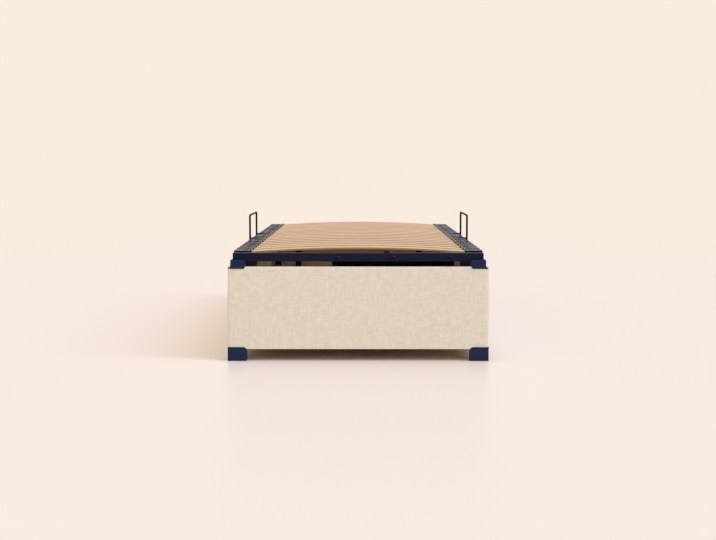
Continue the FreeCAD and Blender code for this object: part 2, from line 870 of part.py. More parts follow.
def retainer_bracket(y):
    """An angle over the rail's top and outer face, with its edge towards the foot end turned up."""
    half = retainer_bracket_width / 2
    outer = deck_width / 2 + retainer_bracket_thickness
    top = rail_top + retainer_bracket_thickness
    shelf = box((rail_inner, y - half, rail_top), (outer, y + half, top))
    apron = box((deck_width / 2, y - half, rail_top - retainer_bracket_drop), (outer, y + half, top))
    lip = box((rail_inner, y - half, rail_top),
              (outer, y - half + retainer_bracket_thickness, rail_top + retainer_bracket_lip))
    return shelf.fuse([apron, lip]).removeSplitter()


def retainer_bolts():
    """Seats of the bolts that go down through the right brackets and the side rail."""
    x = deck_width / 2 - rail_width / 2
    z = rail_top + retainer_bracket_thickness
    return [((x, gap_y(n), z), (0, 0, -1)) for n in (retainer_first_gap, retainer_last_gap)]


# Foot rail fittings

def grip_plate():
    inner = -deck_length / 2 + rail_width
    return box((grip_plate_centre - grip_plate_length / 2, inner, rail_bottom - grip_plate_drop),
               (grip_plate_centre + grip_plate_length / 2, inner + grip_plate_thickness,
                rail_top - grip_plate_top_margin))


def grip_bolts():
    places = [grip_plate_centre + share * grip_plate_length for share in grip_bolt_shares]
    return [((x, -deck_length / 2, rail_bottom + grip_bolt_height), (0, 1, 0)) for x in places]


def slat_buffer():
    y = -deck_length / 2 + rail_width / 2
    pad = box((buffer_centre - buffer_width / 2, y - buffer_depth / 2, rail_top),
              (buffer_centre + buffer_width / 2, y + buffer_depth / 2, rail_top + buffer_height))
    return round_edges(pad, buffer_round, is_upright)


def mirrored_seats(seats):
    """The same screws on the left."""
    return [((-x, y, z), (-dx, dy, dz)) for (x, y, z), (dx, dy, dz) in seats]


def rear_seats(seats):
    """The same screws at the head end."""
    return [((x, -y, z), (dx, -dy, dz)) for (x, y, z), (dx, dy, dz) in seats]


def base_screw_seats():
    """All the wood screws of the box."""
    corner = corner_screw_seats() + [(seat, (0, 0, 1)) for seat in foot_screw_seats()]
    right = corner + rear_seats(corner)
    right += hinge_screw_seats() + anchor_screw_seats() + headboard_screw_seats() + stiffener_screw_seats()
    return right + mirrored_seats(right)


def base_nodes():
    nodes = box_panels()
    holes = [screw_hole(*seat) for seat in base_screw_seats()]
    foot = corner_foot()
    cap = front_cap()
    low_cap = rear_cap()
    bracket = corner_bracket()
    front_brackets = pair(bracket)
    nodes.update({
        "front_right_foot": foot,
        "front_left_foot": mirror_x(foot),
        "rear_right_foot": mirror_y(foot),
        "rear_left_foot": mirror_x(mirror_y(foot)),
        "corner_brackets": Part.makeCompound(front_brackets + [mirror_y(b) for b in front_brackets]),
        "side_stiffeners": Part.makeCompound(pair(side_stiffener())),
        "hinge_brackets": Part.makeCompound(pair(hinge_bracket())),
        "strut_anchors": Part.makeCompound(pair(strut_anchor())),
        "headboard_plates": Part.makeCompound(pair(headboard_plate(0))),
    })
    nodes = {name: cut_all(shape, holes) for name, shape in nodes.items()}
    cutouts = pair(headboard_plate(cover_cutout_gap)) + pair(anchor_plate(cover_cutout_gap))
    for name in ("head_panel_cover", "left_panel_cover", "right_panel_cover"):
        nodes[name] = cut_all(nodes[name], cutouts)
    for name in ("head_panel_board", "head_panel_cover", "headboard_plates"):
        nodes[name] = cut_all(nodes[name], headboard_holes())
    nodes.update({
        "front_right_cap": cap,
        "front_left_cap": mirror_x(cap),
        "rear_right_cap": low_cap,
        "rear_left_cap": mirror_x(low_cap),
        "foot_glides": foot_glides(),
        "floor_supports": floor_supports(),
        "floor_boards": floor_boards(),
        "panel_screws": Part.makeCompound([wood_screw(*seat) for seat in base_screw_seats()]),
    })
    return nodes


def deck_nodes():
    nodes = deck_rails()
    side_grip = retainer_bracket_thickness + rail_height
    foot_grip = rail_width + grip_plate_thickness
    side_bolts = [seat + (side_grip,) for seat in retainer_bolts() + mirrored_seats(retainer_bolts())]
    foot_bolts = [seat + (foot_grip,) for seat in grip_bolts()]
    side_holes = [bolt_hole(*b) for b in side_bolts]
    foot_holes = [bolt_hole(*b) for b in foot_bolts]
    for name in ("left_side_rail", "right_side_rail"):
        nodes[name] = cut_all(nodes[name], side_holes + pair(hinge_rail_hole()))
    nodes["foot_rail"] = cut_all(nodes["foot_rail"], foot_holes)
    loop = cut_all(retainer(), side_holes)
    holders = repeated(slat_holder())
    nodes.update({
        "mid_crossbar": mid_crossbar(),
        "right_slat_holders": Part.makeCompound(holders),
        "left_slat_holders": Part.makeCompound([mirror_x(h) for h in holders]),
        "right_mattress_retainer": loop,
        "left_mattress_retainer": mirror_x(loop),
        "grip_plate": cut_all(grip_plate(), foot_holes),
        "deck_bolts": Part.makeCompound([through_bolt(*b) for b in side_bolts + foot_bolts]),
        "slat_buffer": slat_buffer(),
        "strut_lugs": Part.makeCompound(pair(strut_lug())),
        "hinge_bolts": Part.makeCompound(pair(hinge_bolt())),
    })
    for index, piece in enumerate(repeated(slat(0))):
        nodes["slat_%02d" % (index + 1)] = piece
    return nodes


def strut_nodes():
    cylinder = strut_cylinder()
    rod = strut_rod()
    return {
        "right_strut_cylinder": cylinder,
        "left_strut_cylinder": mirror_x(cylinder),
        "right_strut_rod": rod,
        "left_strut_rod": mirror_x(rod),
    }


os.makedirs("parts", exist_ok=True)
for nodes in (base_nodes(), deck_nodes(), strut_nodes()):
    for name, shape in nodes.items():
        shape.exportStep("parts/" + name + ".step")
        print(name, len(shape.Solids), "solids", round(shape.Volume), "mm3, valid", shape.isValid())
print("hinge axis y, z:", hinge_y, hinge_z)
print("strut base stud y, z:", round(base_stud_y, 3), round(base_stud_z, 3))
print("strut deck stud y, z:", round(deck_stud_y, 3), round(deck_stud_z, 3))
print("strut length and stroke:", round(strut_length, 3), round(strut_stroke, 3))
print("slat pitch:", round(slat_pitch, 3))
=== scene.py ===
import json
import math

import bmesh
import bpy
from mathutils import Matrix, Vector, noise


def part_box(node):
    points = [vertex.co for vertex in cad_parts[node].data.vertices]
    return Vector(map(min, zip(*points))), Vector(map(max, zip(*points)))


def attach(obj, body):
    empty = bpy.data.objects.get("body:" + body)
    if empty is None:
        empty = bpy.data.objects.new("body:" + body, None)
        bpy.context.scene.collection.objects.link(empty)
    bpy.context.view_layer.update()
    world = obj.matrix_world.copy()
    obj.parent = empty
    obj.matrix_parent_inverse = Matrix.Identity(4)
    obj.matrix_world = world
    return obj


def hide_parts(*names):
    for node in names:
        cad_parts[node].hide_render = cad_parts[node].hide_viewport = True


# The looks of a lift-up storage bed base, in metres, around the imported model.

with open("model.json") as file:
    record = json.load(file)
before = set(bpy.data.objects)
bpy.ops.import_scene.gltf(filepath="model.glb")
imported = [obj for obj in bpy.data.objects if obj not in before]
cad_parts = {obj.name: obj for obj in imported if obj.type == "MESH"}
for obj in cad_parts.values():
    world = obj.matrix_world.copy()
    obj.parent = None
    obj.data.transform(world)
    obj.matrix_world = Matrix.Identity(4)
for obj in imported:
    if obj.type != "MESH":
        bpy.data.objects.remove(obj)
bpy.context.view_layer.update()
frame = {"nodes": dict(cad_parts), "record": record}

MM = 0.001
UP = Vector((0, 0, 1))
ORIGIN = Vector((0, 0, 0))
SIDES = {"left": -1, "right": 1}
CORNERS = ("front_left", "front_right", "rear_left", "rear_right")
PANELS = {"foot": (0, -1, 0), "head": (0, 1, 0), "right": (1, 0, 0), "left": (-1, 0, 0)}
BODY_OF = {node: body for body, nodes in frame["record"]["behaviour"]["bodies"].items() for node in nodes}

# Camera
CAMERA_PLACE = (0.00628, -5.38546, 0.71051)
CAMERA_TILT = 84.994
CAMERA_TURN = 0.09
CAMERA_LENS = 61.766
SENSOR_WIDTH = 36.0

# Stage
FLOOR_RADIUS = 40.0
FLOOR_SIDES = 96
FLOOR_ROUGHNESS = 0.32
FLOOR_GLOSS = 0.25
FLOOR_FADE = (3.0, 6.5)
KEY_TILTS = (34.0, 50.0, 66.0)
KEY_SWAY = 13.4
KEY_STRENGTH = 0.576
KEY_COLOUR = (0.432, 0.648, 1.0)
KEY_SPREAD = 20.0
SKY_STRENGTH = 0.82
SKY_FRONT_COLOUR = (1.0, 0.895, 0.68, 1.0)
SKY_REAR_COLOUR = (1.0, 0.895, 0.755, 1.0)
SKY_FRONT_GAIN = 0.45
SKY_DEPTH = (-1.0, 1.0)
ROOM_DIMNESS = 0.1
ROOM_DEPTH = (-0.5, 0.4)

# Upholstered covers
COVER_GRID = 40 * MM
COVER_EDGE_ROWS = (2.5 * MM, 5 * MM, 8 * MM, 12 * MM, 18 * MM, 28 * MM)
COVER_SKIN = 2.05 * MM
COVER_ROLL_ENDS = 8 * MM
COVER_ROLL_TOP = 6 * MM
COVER_ROLL_BOTTOM = 1.4 * MM
COVER_ROLL_DEPTH = 6 * MM
COVER_END_BULGE = 2.0 * MM
COVER_CROWN = 0.9 * MM
COVER_CROWN_REACH = 130 * MM
COVER_RIPPLE = 0.14 * MM
COVER_RIPPLE_SCALE = 9.0
COVER_CORNER_ANGLE = 50.0
COVER_TURNED_SHARE = 0.7

# Staples along the upper turned-in border of the covers
STAPLE_CROWN = 11 * MM
STAPLE_WIRE = 0.55 * MM
STAPLE_TIP = 2.5 * STAPLE_WIRE
STAPLE_DROP = 9 * MM
STAPLE_STEP = 62 * MM
STAPLE_END_GAP = 60 * MM
STAPLE_LIMIT = {"foot": 0.48, "head": 0.48, "right": 0.94, "left": 0.94}
WIRE_CORNERS = ((-1, -1), (1, -1), (1, 1), (-1, 1))

# Rounded edges, by finish
TUBE_ROUND = 0.6 * MM
CROSSBAR_ROUND = 2.5 * MM
MOULDING_ROUND = 1.0 * MM
PLATE_ROUND = 0.5 * MM
BOARD_ROUND = 0.5 * MM
TURNED_ROUND = 0.5 * MM
RUBBER_ROUND = 0.9 * MM
GLIDE_ROUND = 0.3 * MM
ROUND_STEPS = 3
THIN_STEPS = 2
SHARP_ANGLE = 28.0
SMOOTH_ANGLE = 40.0
FLAT_ANGLE = 1.0
MERGE_REACH = 0.001 * MM

# Slats and holders
SLAT_THICKNESS = 8 * MM
SLAT_EDGE_ROUND = 1.8 * MM
SLAT_EDGE_STEPS = 3
SLAT_ARC_POINTS = 48
SLAT_SEED = 11
HOLDER_ROUND = 0.6 * MM
HOLDER_RIB_WIDTH = 1.6 * MM
HOLDER_RIB_RISE = 0.4 * MM
HOLDER_RIB_SHARES = (-0.3, 0.0, 0.3)
HOLDER_RIB_REACH = 0.6
HOLDER_LIP_RISE = 2.6 * MM
HOLDER_LIP_DEPTH = 4 * MM
HOLDER_LIP_INSET = 2 * MM
HOLDER_LIP_ROOT = 0.8 * MM
HOLDER_LIP_SETBACK = 0.2 * MM
HOLDER_DETAIL_ROUND = 0.3 * MM
HOLDER_PEG_RADIUS = 5.5 * MM
HOLDER_PEG_RISE = 1.1 * MM
HOLDER_PEG_SHARES = ((1.0, -1.0), (1.0, 0.35), (0.86, 0.8), (0.5, 1.0))
HOLDER_PEG_SIDES = 24

# Mattress retainers
ROD_RADIUS = 4 * MM
ROD_BEND = 10 * MM
ROD_POST_DROP = 26 * MM
ROD_ROUNDNESS = 5
BRACKET_WIDTH = 25 * MM
BRACKET_THICKNESS = 3 * MM
BRACKET_DROP = 30 * MM
BRACKET_LIP = 8.8 * MM
BEND_STEPS = 10
BEAD_RADIUS = 1.7 * MM
BEAD_STEP = 1.9 * MM
BEAD_STRETCH = (0.8, 1.0, 0.9)
BEAD_DETAIL = 2

# Fasteners
SCREW_SIDES = 20
SCREW_HEAD_SHARE = 0.9
SCREW_SHANK_SHARE = 0.45
BOLT_HEAD_SHARE = 0.96
BOLT_SHANK_SHARE = 0.5
RECESS_DEPTH_SHARE = 0.55
RECESS_TAPER = 0.8
CROSS_REACH_SHARE = 0.52
CROSS_ARM_SHARE = 0.13
SOCKET_REACH_SHARE = 0.5
HEAD_FLAT_SHARE = 0.58
HEAD_RIM_SHARE = 0.12
FASTENER_ANGLE = 35.0
FASTENER_SEED = 5
HEXAGON = 6
DOME_STEPS = 6
BOLT_NUT_WIDTH_SHARE = 0.92
BOLT_NUT_HEIGHT_SHARE = 1.4
NUT_CHAMFER_SHARE = 0.9
NUT_CHAMFER_RISE = 0.12
CAP_NUT_RADIUS = 7.5 * MM
CAP_NUT_HEIGHT = 6 * MM
CAP_NUT_DOME_SHARE = 0.8
HEADBOARD_PLATE_WIDTH = 28 * MM
HEADBOARD_HOLE_RISE = 120 * MM
ANCHOR_THICKNESS = 4 * MM
STRUT_TUBE_BULGE = 5.7 * MM
SLEEVE_START = 10.5 * MM
SLEEVE_RADIUS = 8.4 * MM
SLEEVE_LIP = 0.6 * MM
SLEEVE_SIDES = 32

# Finishes
NOISE_SPAN = (0.3, 0.7)
SLUB_SCALES = (24.0, 230.0)
SLAT_GRAIN_SHIFT = (31.0, 7.0)
PLY_WAVES = 2400.0
PLY_EDGE = (2.9 * MM, 3.2 * MM)
COAT_DEEP_SHARE = 0.8
COAT_GLOSS_SWING = 0.06
# How far the normal rises while the painted shade on upright faces fades out
PAINTED_SHADE_TURN = (0.3, 0.8)


# Colours

def srgb(red, green, blue):
    """A display colour, 0 to 255, as the linear colour that the shaders take."""
    channels = []
    for level in (red / 255, green / 255, blue / 255):
        channels.append(level / 12.92 if level <= 0.04045 else ((level + 0.055) / 1.055) ** 2.4)
    return (*channels, 1.0)


def toned_down(colour, share):
    return (*(channel * share for channel in colour[:3]), 1.0)


BACKDROP = srgb(250, 236, 223)
FLOOR_COLOUR = srgb(251, 236, 230)
LINEN_LIGHT = srgb(240, 235, 227)
LINEN_DARK = srgb(210, 199, 184)
# Painted shade colour between the linen threads
LINEN_GAP_SHADE = srgb(172, 152, 130)
BIRCH_LIGHT = srgb(242, 209, 177)
BIRCH_DARK = srgb(213, 174, 141)
BIRCH_WARM = srgb(214, 170, 130)
# Dark ply colour, for the pores and for the plies and painted shade on the slat edges
BIRCH_PLY = srgb(138, 100, 64)
NAVY_COAT = srgb(6, 17, 64)
NAVY_COAT_LIGHT = srgb(52, 56, 84)
NAVY_MOULDING = srgb(27, 44, 86)
NAVY_MOULDING_LIGHT = srgb(60, 68, 96)
NAVY_HOLDER = srgb(27, 26, 80)
BLACK_PAINT = srgb(20, 11, 6)
BLACK_PAINT_LIGHT = srgb(62, 60, 62)
BLACK_OXIDE = srgb(2, 3, 14)
BLUED_SHEEN = (0.45, 0.5, 1.0, 1.0)
ZINC_LIGHT = srgb(205, 206, 208)
ZINC_DARK = srgb(160, 162, 166)
CHROME = srgb(226, 227, 230)
RUBBER_BLACK = srgb(24, 23, 24)
CHIP_LIGHT = srgb(205, 178, 143)
CHIP_DARK = srgb(158, 124, 88)
PINE_LIGHT = srgb(226, 194, 150)
PINE_DARK = srgb(190, 146, 98)
FIBRE_LIGHT = srgb(190, 158, 122)
FIBRE_DARK = srgb(164, 130, 96)


# Node building

def add(tree, kind, inputs=None, **settings):
    """A new node with its settings, its inputs set to values or joined to sockets; returns its outputs."""
    node = tree.nodes.new(kind)
    for key, value in settings.items():
        setattr(node, key, value)
    for key, value in (inputs or {}).items():
        if isinstance(value, bpy.types.NodeSocket):
            tree.links.new(value, node.inputs[key])
        else:
            node.inputs[key].default_value = value
    return node.outputs


def maths(tree, operation, first, second=0.0):
    return add(tree, "ShaderNodeMath", {0: first, 1: second}, operation=operation)[0]


def times(tree, first, second):
    return maths(tree, "MULTIPLY", first, second)


def plus(tree, first, second):
    return maths(tree, "ADD", first, second)


def spread(tree, value, span=(0.0, 1.0), to=(0.0, 1.0)):
    """The value taken from one range to another, held at its ends."""
    ends = {"From Min": span[0], "From Max": span[1], "To Min": to[0], "To Max": to[1]}
    return add(tree, "ShaderNodeMapRange", {"Value": value, **ends})[0]


def blend_colour(tree, share, first, second):
    return add(tree, "ShaderNodeMix", {0: share, 6: first, 7: second}, data_type="RGBA")[2]


def noise_field(tree, vector, scale, detail=2.0, roughness=0.5):
    settings = {"Vector": vector, "Scale": scale, "Detail": detail, "Roughness": roughness}
    return add(tree, "ShaderNodeTexNoise", settings)[0]


def cell_tones(tree, vector, scale):
    """A tone of its own for each cell of a broken-up surface."""
    cells = add(tree, "ShaderNodeTexVoronoi", {"Vector": vector, "Scale": scale})["Color"]
    return add(tree, "ShaderNodeSeparateColor", {0: cells})[0]


def stretched(tree, vector, scale):
    return add(tree, "ShaderNodeMapping", {"Vector": vector, "Scale": scale})[0]


def vector_of(tree, x=0.0, y=0.0, z=0.0):
    return add(tree, "ShaderNodeCombineXYZ", {0: x, 1: y, 2: z})[0]


def parts_of(tree, vector):
    return add(tree, "ShaderNodeSeparateXYZ", {0: vector})


def attribute(tree, name):
    return add(tree, "ShaderNodeAttribute", attribute_name=name)["Fac"]


def object_place(tree):
    return add(tree, "ShaderNodeTexCoord")["Object"]


def shader_group(name, values, outputs):
    """An empty group with a vector, named values and named outputs; returns the tree and its two ends."""
    tree = bpy.data.node_groups.new(name, "ShaderNodeTree")
    tree.interface.new_socket("Vector", in_out="INPUT", socket_type="NodeSocketVector")
    for label, value in values.items():
        socket = tree.interface.new_socket(label, in_out="INPUT", socket_type="NodeSocketFloat")
        socket.default_value = value
    for label in outputs:
        tree.interface.new_socket(label, in_out="OUTPUT", socket_type="NodeSocketFloat")
    return tree, tree.nodes.new("NodeGroupInput").outputs, tree.nodes.new("NodeGroupOutput").inputs


def use_group(tree, group, **inputs):
    named = {key.replace("_", " "): value for key, value in inputs.items()}
    return add(tree, "ShaderNodeGroup", named, node_tree=group)


# Shared surface effects

def make_weave_group():
    """Plain weave: a thread profile that changes over from warp to weft, with slubs along both."""
    values = {"Threads per metre": 900.0, "Slub": 1.0}
    tree, given, out = shader_group("linen_weave", values, ["Height", "Tone"])
    place = given["Vector"]
    wobble = times(tree, noise_field(tree, place, 35.0), 9.0)
    half_turns = add(tree, "ShaderNodeVectorMath", {0: place, "Scale": math.pi}, operation="SCALE")[0]
    waves = []
    for part in parts_of(tree, half_turns)[:2]:
        turns = times(tree, part, given["Threads per metre"])
        waves.append(maths(tree, "SINE", plus(tree, turns, wobble)))
    crossing = spread(tree, times(tree, *waves), (-0.25, 0.25))
    warp, weft = (maths(tree, "ABSOLUTE", wave) for wave in waves)
    over = times(tree, crossing, warp)
    under = times(tree, maths(tree, "SUBTRACT", 1.0, crossing), weft)
    tree.links.new(plus(tree, over, under), out["Height"])
    slow, quick = SLUB_SCALES
    along = noise_field(tree, stretched(tree, place, (slow, quick, 1.0)), 1.0, 3.0, 0.6)
    across = noise_field(tree, stretched(tree, place, (quick, slow, 1.0)), 1.0, 3.0, 0.6)
    cloudy = noise_field(tree, place, 48.0, 4.0, 0.65)
    along, across, cloudy = (maths(tree, "SUBTRACT", field, 0.5) for field in (along, across, cloudy))
    streaks = plus(tree, plus(tree, along, across), times(tree, cloudy, 0.9))
    tone = plus(tree, 0.5, times(tree, streaks, given["Slub"]))
    tree.links.new(tone, out["Tone"])
    return tree


def make_wood_group():
    """Grain along X: long fine fibres, broader growth bands and a few dark pores."""
    values = {"Band scale": 26.0, "Fibre scale": 420.0}
    tree, given, out = shader_group("wood_grain", values, ["Tone", "Pores"])
    pulls = (0.05, 0.02, 0.06)
    broad, fine, short = (stretched(tree, given["Vector"], (pull, 1.0, 1.0)) for pull in pulls)
    bands = noise_field(tree, broad, given["Band scale"], 3.0, 0.55)
    fibres = noise_field(tree, fine, given["Fibre scale"], 2.0, 0.6)
    tone = plus(tree, times(tree, bands, 0.65), times(tree, fibres, 0.35))
    tree.links.new(spread(tree, tone, NOISE_SPAN), out["Tone"])
    tree.links.new(spread(tree, noise_field(tree, short, 700.0, 1.0), (0.64, 0.74)), out["Pores"])
    return tree


def make_fine_grain_group():
    """The fine pebbled skin of sprayed and moulded surfaces, with a broad uneven tone."""
    values = {"Grain scale": 900.0, "Cloud scale": 9.0}
    tree, given, out = shader_group("fine_grain", values, ["Height", "Tone"])
    tree.links.new(noise_field(tree, given["Vector"], given["Grain scale"], 2.0), out["Height"])
    tree.links.new(noise_field(tree, given["Vector"], given["Cloud scale"], 4.0, 0.6), out["Tone"])
    return tree


def make_worn_edges_group():
    """Rubbed edges: the rounded strips of a piece, broken up by noise."""
    tree, given, out = shader_group("worn_edges", {"Edge": 0.0, "Amount": 0.4}, ["Mask"])
    broken = spread(tree, noise_field(tree, given["Vector"], 70.0, 4.0, 0.65), (0.42, 0.68))
    mask = times(tree, times(tree, given["Edge"], broken), given["Amount"])
    tree.links.new(mask, out["Mask"])
    return tree


WEAVE = make_weave_group()
WOOD = make_wood_group()
FINE_GRAIN = make_fine_grain_group()
WORN_EDGES = make_worn_edges_group()


# Materials

def new_material(name, **constants):
    """A material and its tree; constants are the shader inputs that are the same all over."""
    material = bpy.data.materials.new(name)
    material.use_nodes = True
    shader = material.node_tree.nodes["Principled BSDF"]
    for key, value in constants.items():
        shader.inputs[key.replace("_", " ")].default_value = value
    return material, material.node_tree


def rubbed(tree, place, amount):
    return use_group(tree, WORN_EDGES, Edge=attribute(tree, "edge"), Vector=place, Amount=amount)["Mask"]


def surface(tree, colour, roughness, height=None, strength=0.0, depth=0.0):
    """Joins colour, roughness and, where the finish has one, its relief to the shader."""
    target = tree.nodes["Principled BSDF"].inputs
    tree.links.new(colour, target["Base Color"])
    tree.links.new(roughness, target["Roughness"])
    if height is not None:
        relief = add(tree, "ShaderNodeBump", {"Height": height, "Strength": strength, "Distance": depth})
        tree.links.new(relief[0], target["Normal"])


def linen():
    material, tree = new_material("oatmeal_linen", Specular_IOR_Level=0.1)
    place = add(tree, "ShaderNodeUVMap", uv_map="cloth")[0]
    weave = use_group(tree, WEAVE, Vector=place, Threads_per_metre=780.0, Slub=0.9)
    colour = blend_colour(tree, weave["Tone"], LINEN_DARK, LINEN_LIGHT)
    # Painted shade in the low parts of the weave, between the threads.
    shade = spread(tree, weave["Height"], (0.0, 0.6), to=(0.16, 0.0))
    colour = blend_colour(tree, shade, colour, LINEN_GAP_SHADE)
    roughness = spread(tree, weave["Height"], to=(0.97, 0.85))
    surface(tree, colour, roughness, weave["Height"], strength=0.35, depth=0.4 * MM)
    return material


def birch():
    """Bent plywood: each slat has its own tone and grain; its edges show the plies, and the whole edge is
    darkened as painted shade.
    """
    material, tree = new_material("birch_plywood", Specular_IOR_Level=0.3)
    slat_tone = attribute(tree, "slat_tone")
    shift = vector_of(tree, *(times(tree, slat_tone, reach) for reach in SLAT_GRAIN_SHIFT))
    place = add(tree, "ShaderNodeVectorMath", {0: object_place(tree), 1: shift})[0]
    grain = use_group(tree, WOOD, Vector=place, Band_scale=30.0, Fibre_scale=460.0)
    colour = blend_colour(tree, grain["Tone"], BIRCH_DARK, BIRCH_LIGHT)
    colour = blend_colour(tree, spread(tree, slat_tone, to=(0.0, 0.28)), colour, BIRCH_WARM)
    colour = blend_colour(tree, times(tree, grain["Pores"], 0.35), colour, BIRCH_PLY)
    # The edges get real ply stripes on top of an overall darkening of the edge, which is painted shade.
    ply = attribute(tree, "ply")
    waves = maths(tree, "SINE", times(tree, ply, PLY_WAVES))
    layers = spread(tree, waves, (-0.3, 0.3), to=(0.4, 1.0))
    on_edge = spread(tree, maths(tree, "ABSOLUTE", ply), PLY_EDGE, to=(0.85, 0.0))
    colour = blend_colour(tree, times(tree, layers, on_edge), colour, BIRCH_PLY)
    roughness = spread(tree, grain["Tone"], to=(0.6, 0.46))
    surface(tree, colour, roughness, grain["Tone"], strength=0.12, depth=0.3 * MM)
    return material


def coated(name, base, worn, roughness, grain, peel, wear, painted_upright_shade=1.0, **constants):
    """A sprayed, moulded or rubber surface: an uneven tone, a fine skin, rubbed edges and, where asked,
    painted shade on the upright faces.
    """
    material, tree = new_material(name, **constants)
    place = object_place(tree)
    skin = use_group(tree, FINE_GRAIN, Vector=place, Grain_scale=grain)
    colour = blend_colour(tree, skin["Tone"], toned_down(base, COAT_DEEP_SHARE), base)
    colour = blend_colour(tree, rubbed(tree, place, wear), colour, worn)
    # Painted shade: faces that stand upright are darkened to a share of the base colour.
    if painted_upright_shade < 1.0:
        rise = parts_of(tree, add(tree, "ShaderNodeTexCoord")["Normal"])[2]
        level = spread(tree, rise, PAINTED_SHADE_TURN)
        colour = blend_colour(tree, level, toned_down(base, painted_upright_shade), colour)
    ends = (roughness + COAT_GLOSS_SWING, roughness - COAT_GLOSS_SWING)
    surface(tree, colour, spread(tree, skin["Tone"], NOISE_SPAN, ends), skin["Height"], peel, 0.25 * MM)
    return material


def zinc():
    """Zinc-plated steel with a faint spangle."""
    material, tree = new_material("zinc_plate", Metallic=1.0)
    place = object_place(tree)
    spangle = cell_tones(tree, place, 160.0)
    skin = use_group(tree, FINE_GRAIN, Vector=place, Grain_scale=1400.0)
    colour = blend_colour(tree, spangle, ZINC_DARK, ZINC_LIGHT)
    colour = blend_colour(tree, rubbed(tree, place, 0.5), colour, CHROME)
    roughness = spread(tree, spangle, to=(0.42, 0.3))
    surface(tree, colour, roughness, skin["Height"], strength=0.06, depth=0.2 * MM)
    return material


def chrome():
    """Polished rod with an uneven shine."""
    material, tree = new_material("chrome_rod", Metallic=1.0)
    skin = use_group(tree, FINE_GRAIN, Vector=object_place(tree), Grain_scale=500.0)
    colour = blend_colour(tree, skin["Tone"], ZINC_LIGHT, CHROME)
    surface(tree, colour, spread(tree, skin["Tone"], NOISE_SPAN, to=(0.14, 0.07)))
    return material


def particle_board():
    """Pressed chips: cells in tan tones under a cloudy film."""
    material, tree = new_material("particle_board", Specular_IOR_Level=0.2)
    place = object_place(tree)
    chip = cell_tones(tree, stretched(tree, place, (1.0, 1.0, 1.6)), 260.0)
    skin = use_group(tree, FINE_GRAIN, Vector=place, Grain_scale=600.0, Cloud_scale=4.0)
    colour = blend_colour(tree, chip, CHIP_DARK, CHIP_LIGHT)
    colour = blend_colour(tree, spread(tree, skin["Tone"], NOISE_SPAN, to=(0.0, 0.4)), colour, CHIP_LIGHT)
    surface(tree, colour, spread(tree, chip, to=(0.85, 0.7)), skin["Height"], strength=0.2, depth=0.3 * MM)
    return material


def pine():
    """Sawn battens; the attribute tells the ones that run across the bed."""
    material, tree = new_material("pine_batten", Specular_IOR_Level=0.25)
    place = object_place(tree)
    lengthways = add(tree, "ShaderNodeMapping", {"Vector": place, "Rotation": (0, 0, math.pi / 2)})[0]
    turned = add(tree, "ShaderNodeMix", {0: attribute(tree, "across"), 4: lengthways, 5: place},
                 data_type="VECTOR")[1]
    grain = use_group(tree, WOOD, Vector=turned, Band_scale=70.0, Fibre_scale=520.0)
    colour = blend_colour(tree, grain["Tone"], PINE_DARK, PINE_LIGHT)
    roughness = spread(tree, grain["Tone"], to=(0.75, 0.6))
    surface(tree, colour, roughness, grain["Tone"], strength=0.25, depth=0.3 * MM)
    return material


def hardboard():
    """Pressed fibre sheet of the storage floor."""
    material, tree = new_material("fibre_board", Specular_IOR_Level=0.3)
    place = object_place(tree)
    skin = use_group(tree, FINE_GRAIN, Vector=place, Grain_scale=700.0, Cloud_scale=14.0)
    fibres = noise_field(tree, stretched(tree, place, (0.3, 1.0, 1.0)), 340.0, 3.0, 0.7)
    colour = blend_colour(tree, fibres, FIBRE_DARK, FIBRE_LIGHT)
    colour = blend_colour(tree, spread(tree, skin["Tone"], (0.35, 0.65), to=(0.0, 0.25)), colour, FIBRE_DARK)
    roughness = spread(tree, fibres, NOISE_SPAN, to=(0.62, 0.5))
    surface(tree, colour, roughness, skin["Height"], strength=0.12, depth=0.2 * MM)
    return material


FINISH = {
    "cream_fabric": linen(),
    "birch": birch(),
    "navy_steel": coated("navy_coat", NAVY_COAT, NAVY_COAT_LIGHT, roughness=0.4, grain=700.0,
                         peel=0.07, wear=0.25, Specular_IOR_Level=0.55),
    "navy_plastic": coated("navy_moulding", NAVY_MOULDING, NAVY_MOULDING_LIGHT, roughness=0.46, grain=1100.0,
                           peel=0.1, wear=0.2, Specular_IOR_Level=0.3),
    "black_steel": coated("black_paint", BLACK_PAINT, BLACK_PAINT_LIGHT, roughness=0.5, grain=800.0,
                          peel=0.02, wear=0.1, Specular_IOR_Level=0.07),
    "rubber": coated("black_rubber", RUBBER_BLACK, BLACK_PAINT_LIGHT, roughness=0.74, grain=1500.0,
                     peel=0.16, wear=0.1, Specular_IOR_Level=0.25),
    "zinc_steel": zinc(),
    "chrome_rod": chrome(),
    "panel_board": particle_board(),
}
# The holders' upright faces carry painted shade, down to a tenth of the base colour.
HOLDER_FINISH = coated("navy_holder", NAVY_HOLDER, NAVY_MOULDING_LIGHT, roughness=0.36, grain=1100.0,
                       peel=0.08, wear=0.2, painted_upright_shade=0.1, Specular_IOR_Level=0.5)
BOLT_FINISH = coated("black_oxide", BLACK_OXIDE, BLACK_PAINT_LIGHT, roughness=0.16, grain=900.0,
                     peel=0.01, wear=0.1, Specular_IOR_Level=1.0, IOR=1.8, Specular_Tint=BLUED_SHEEN)
PINE = pine()
HARDBOARD = hardboard()


# Pieces

def new_object(name, data):
    made = bpy.data.objects.new(name, data)
    bpy.context.scene.collection.objects.link(made)
    return made


def mesh_piece(name, bm):
    mesh = bpy.data.meshes.new(name)
    bm.to_mesh(mesh)
    bm.free()
    return new_object(name, mesh)


def made_mesh(piece):
    """What the modifiers or the curve of an object make, as a plain mesh."""
    graph = bpy.context.evaluated_depsgraph_get()
    return bpy.data.meshes.new_from_object(piece.evaluated_get(graph))


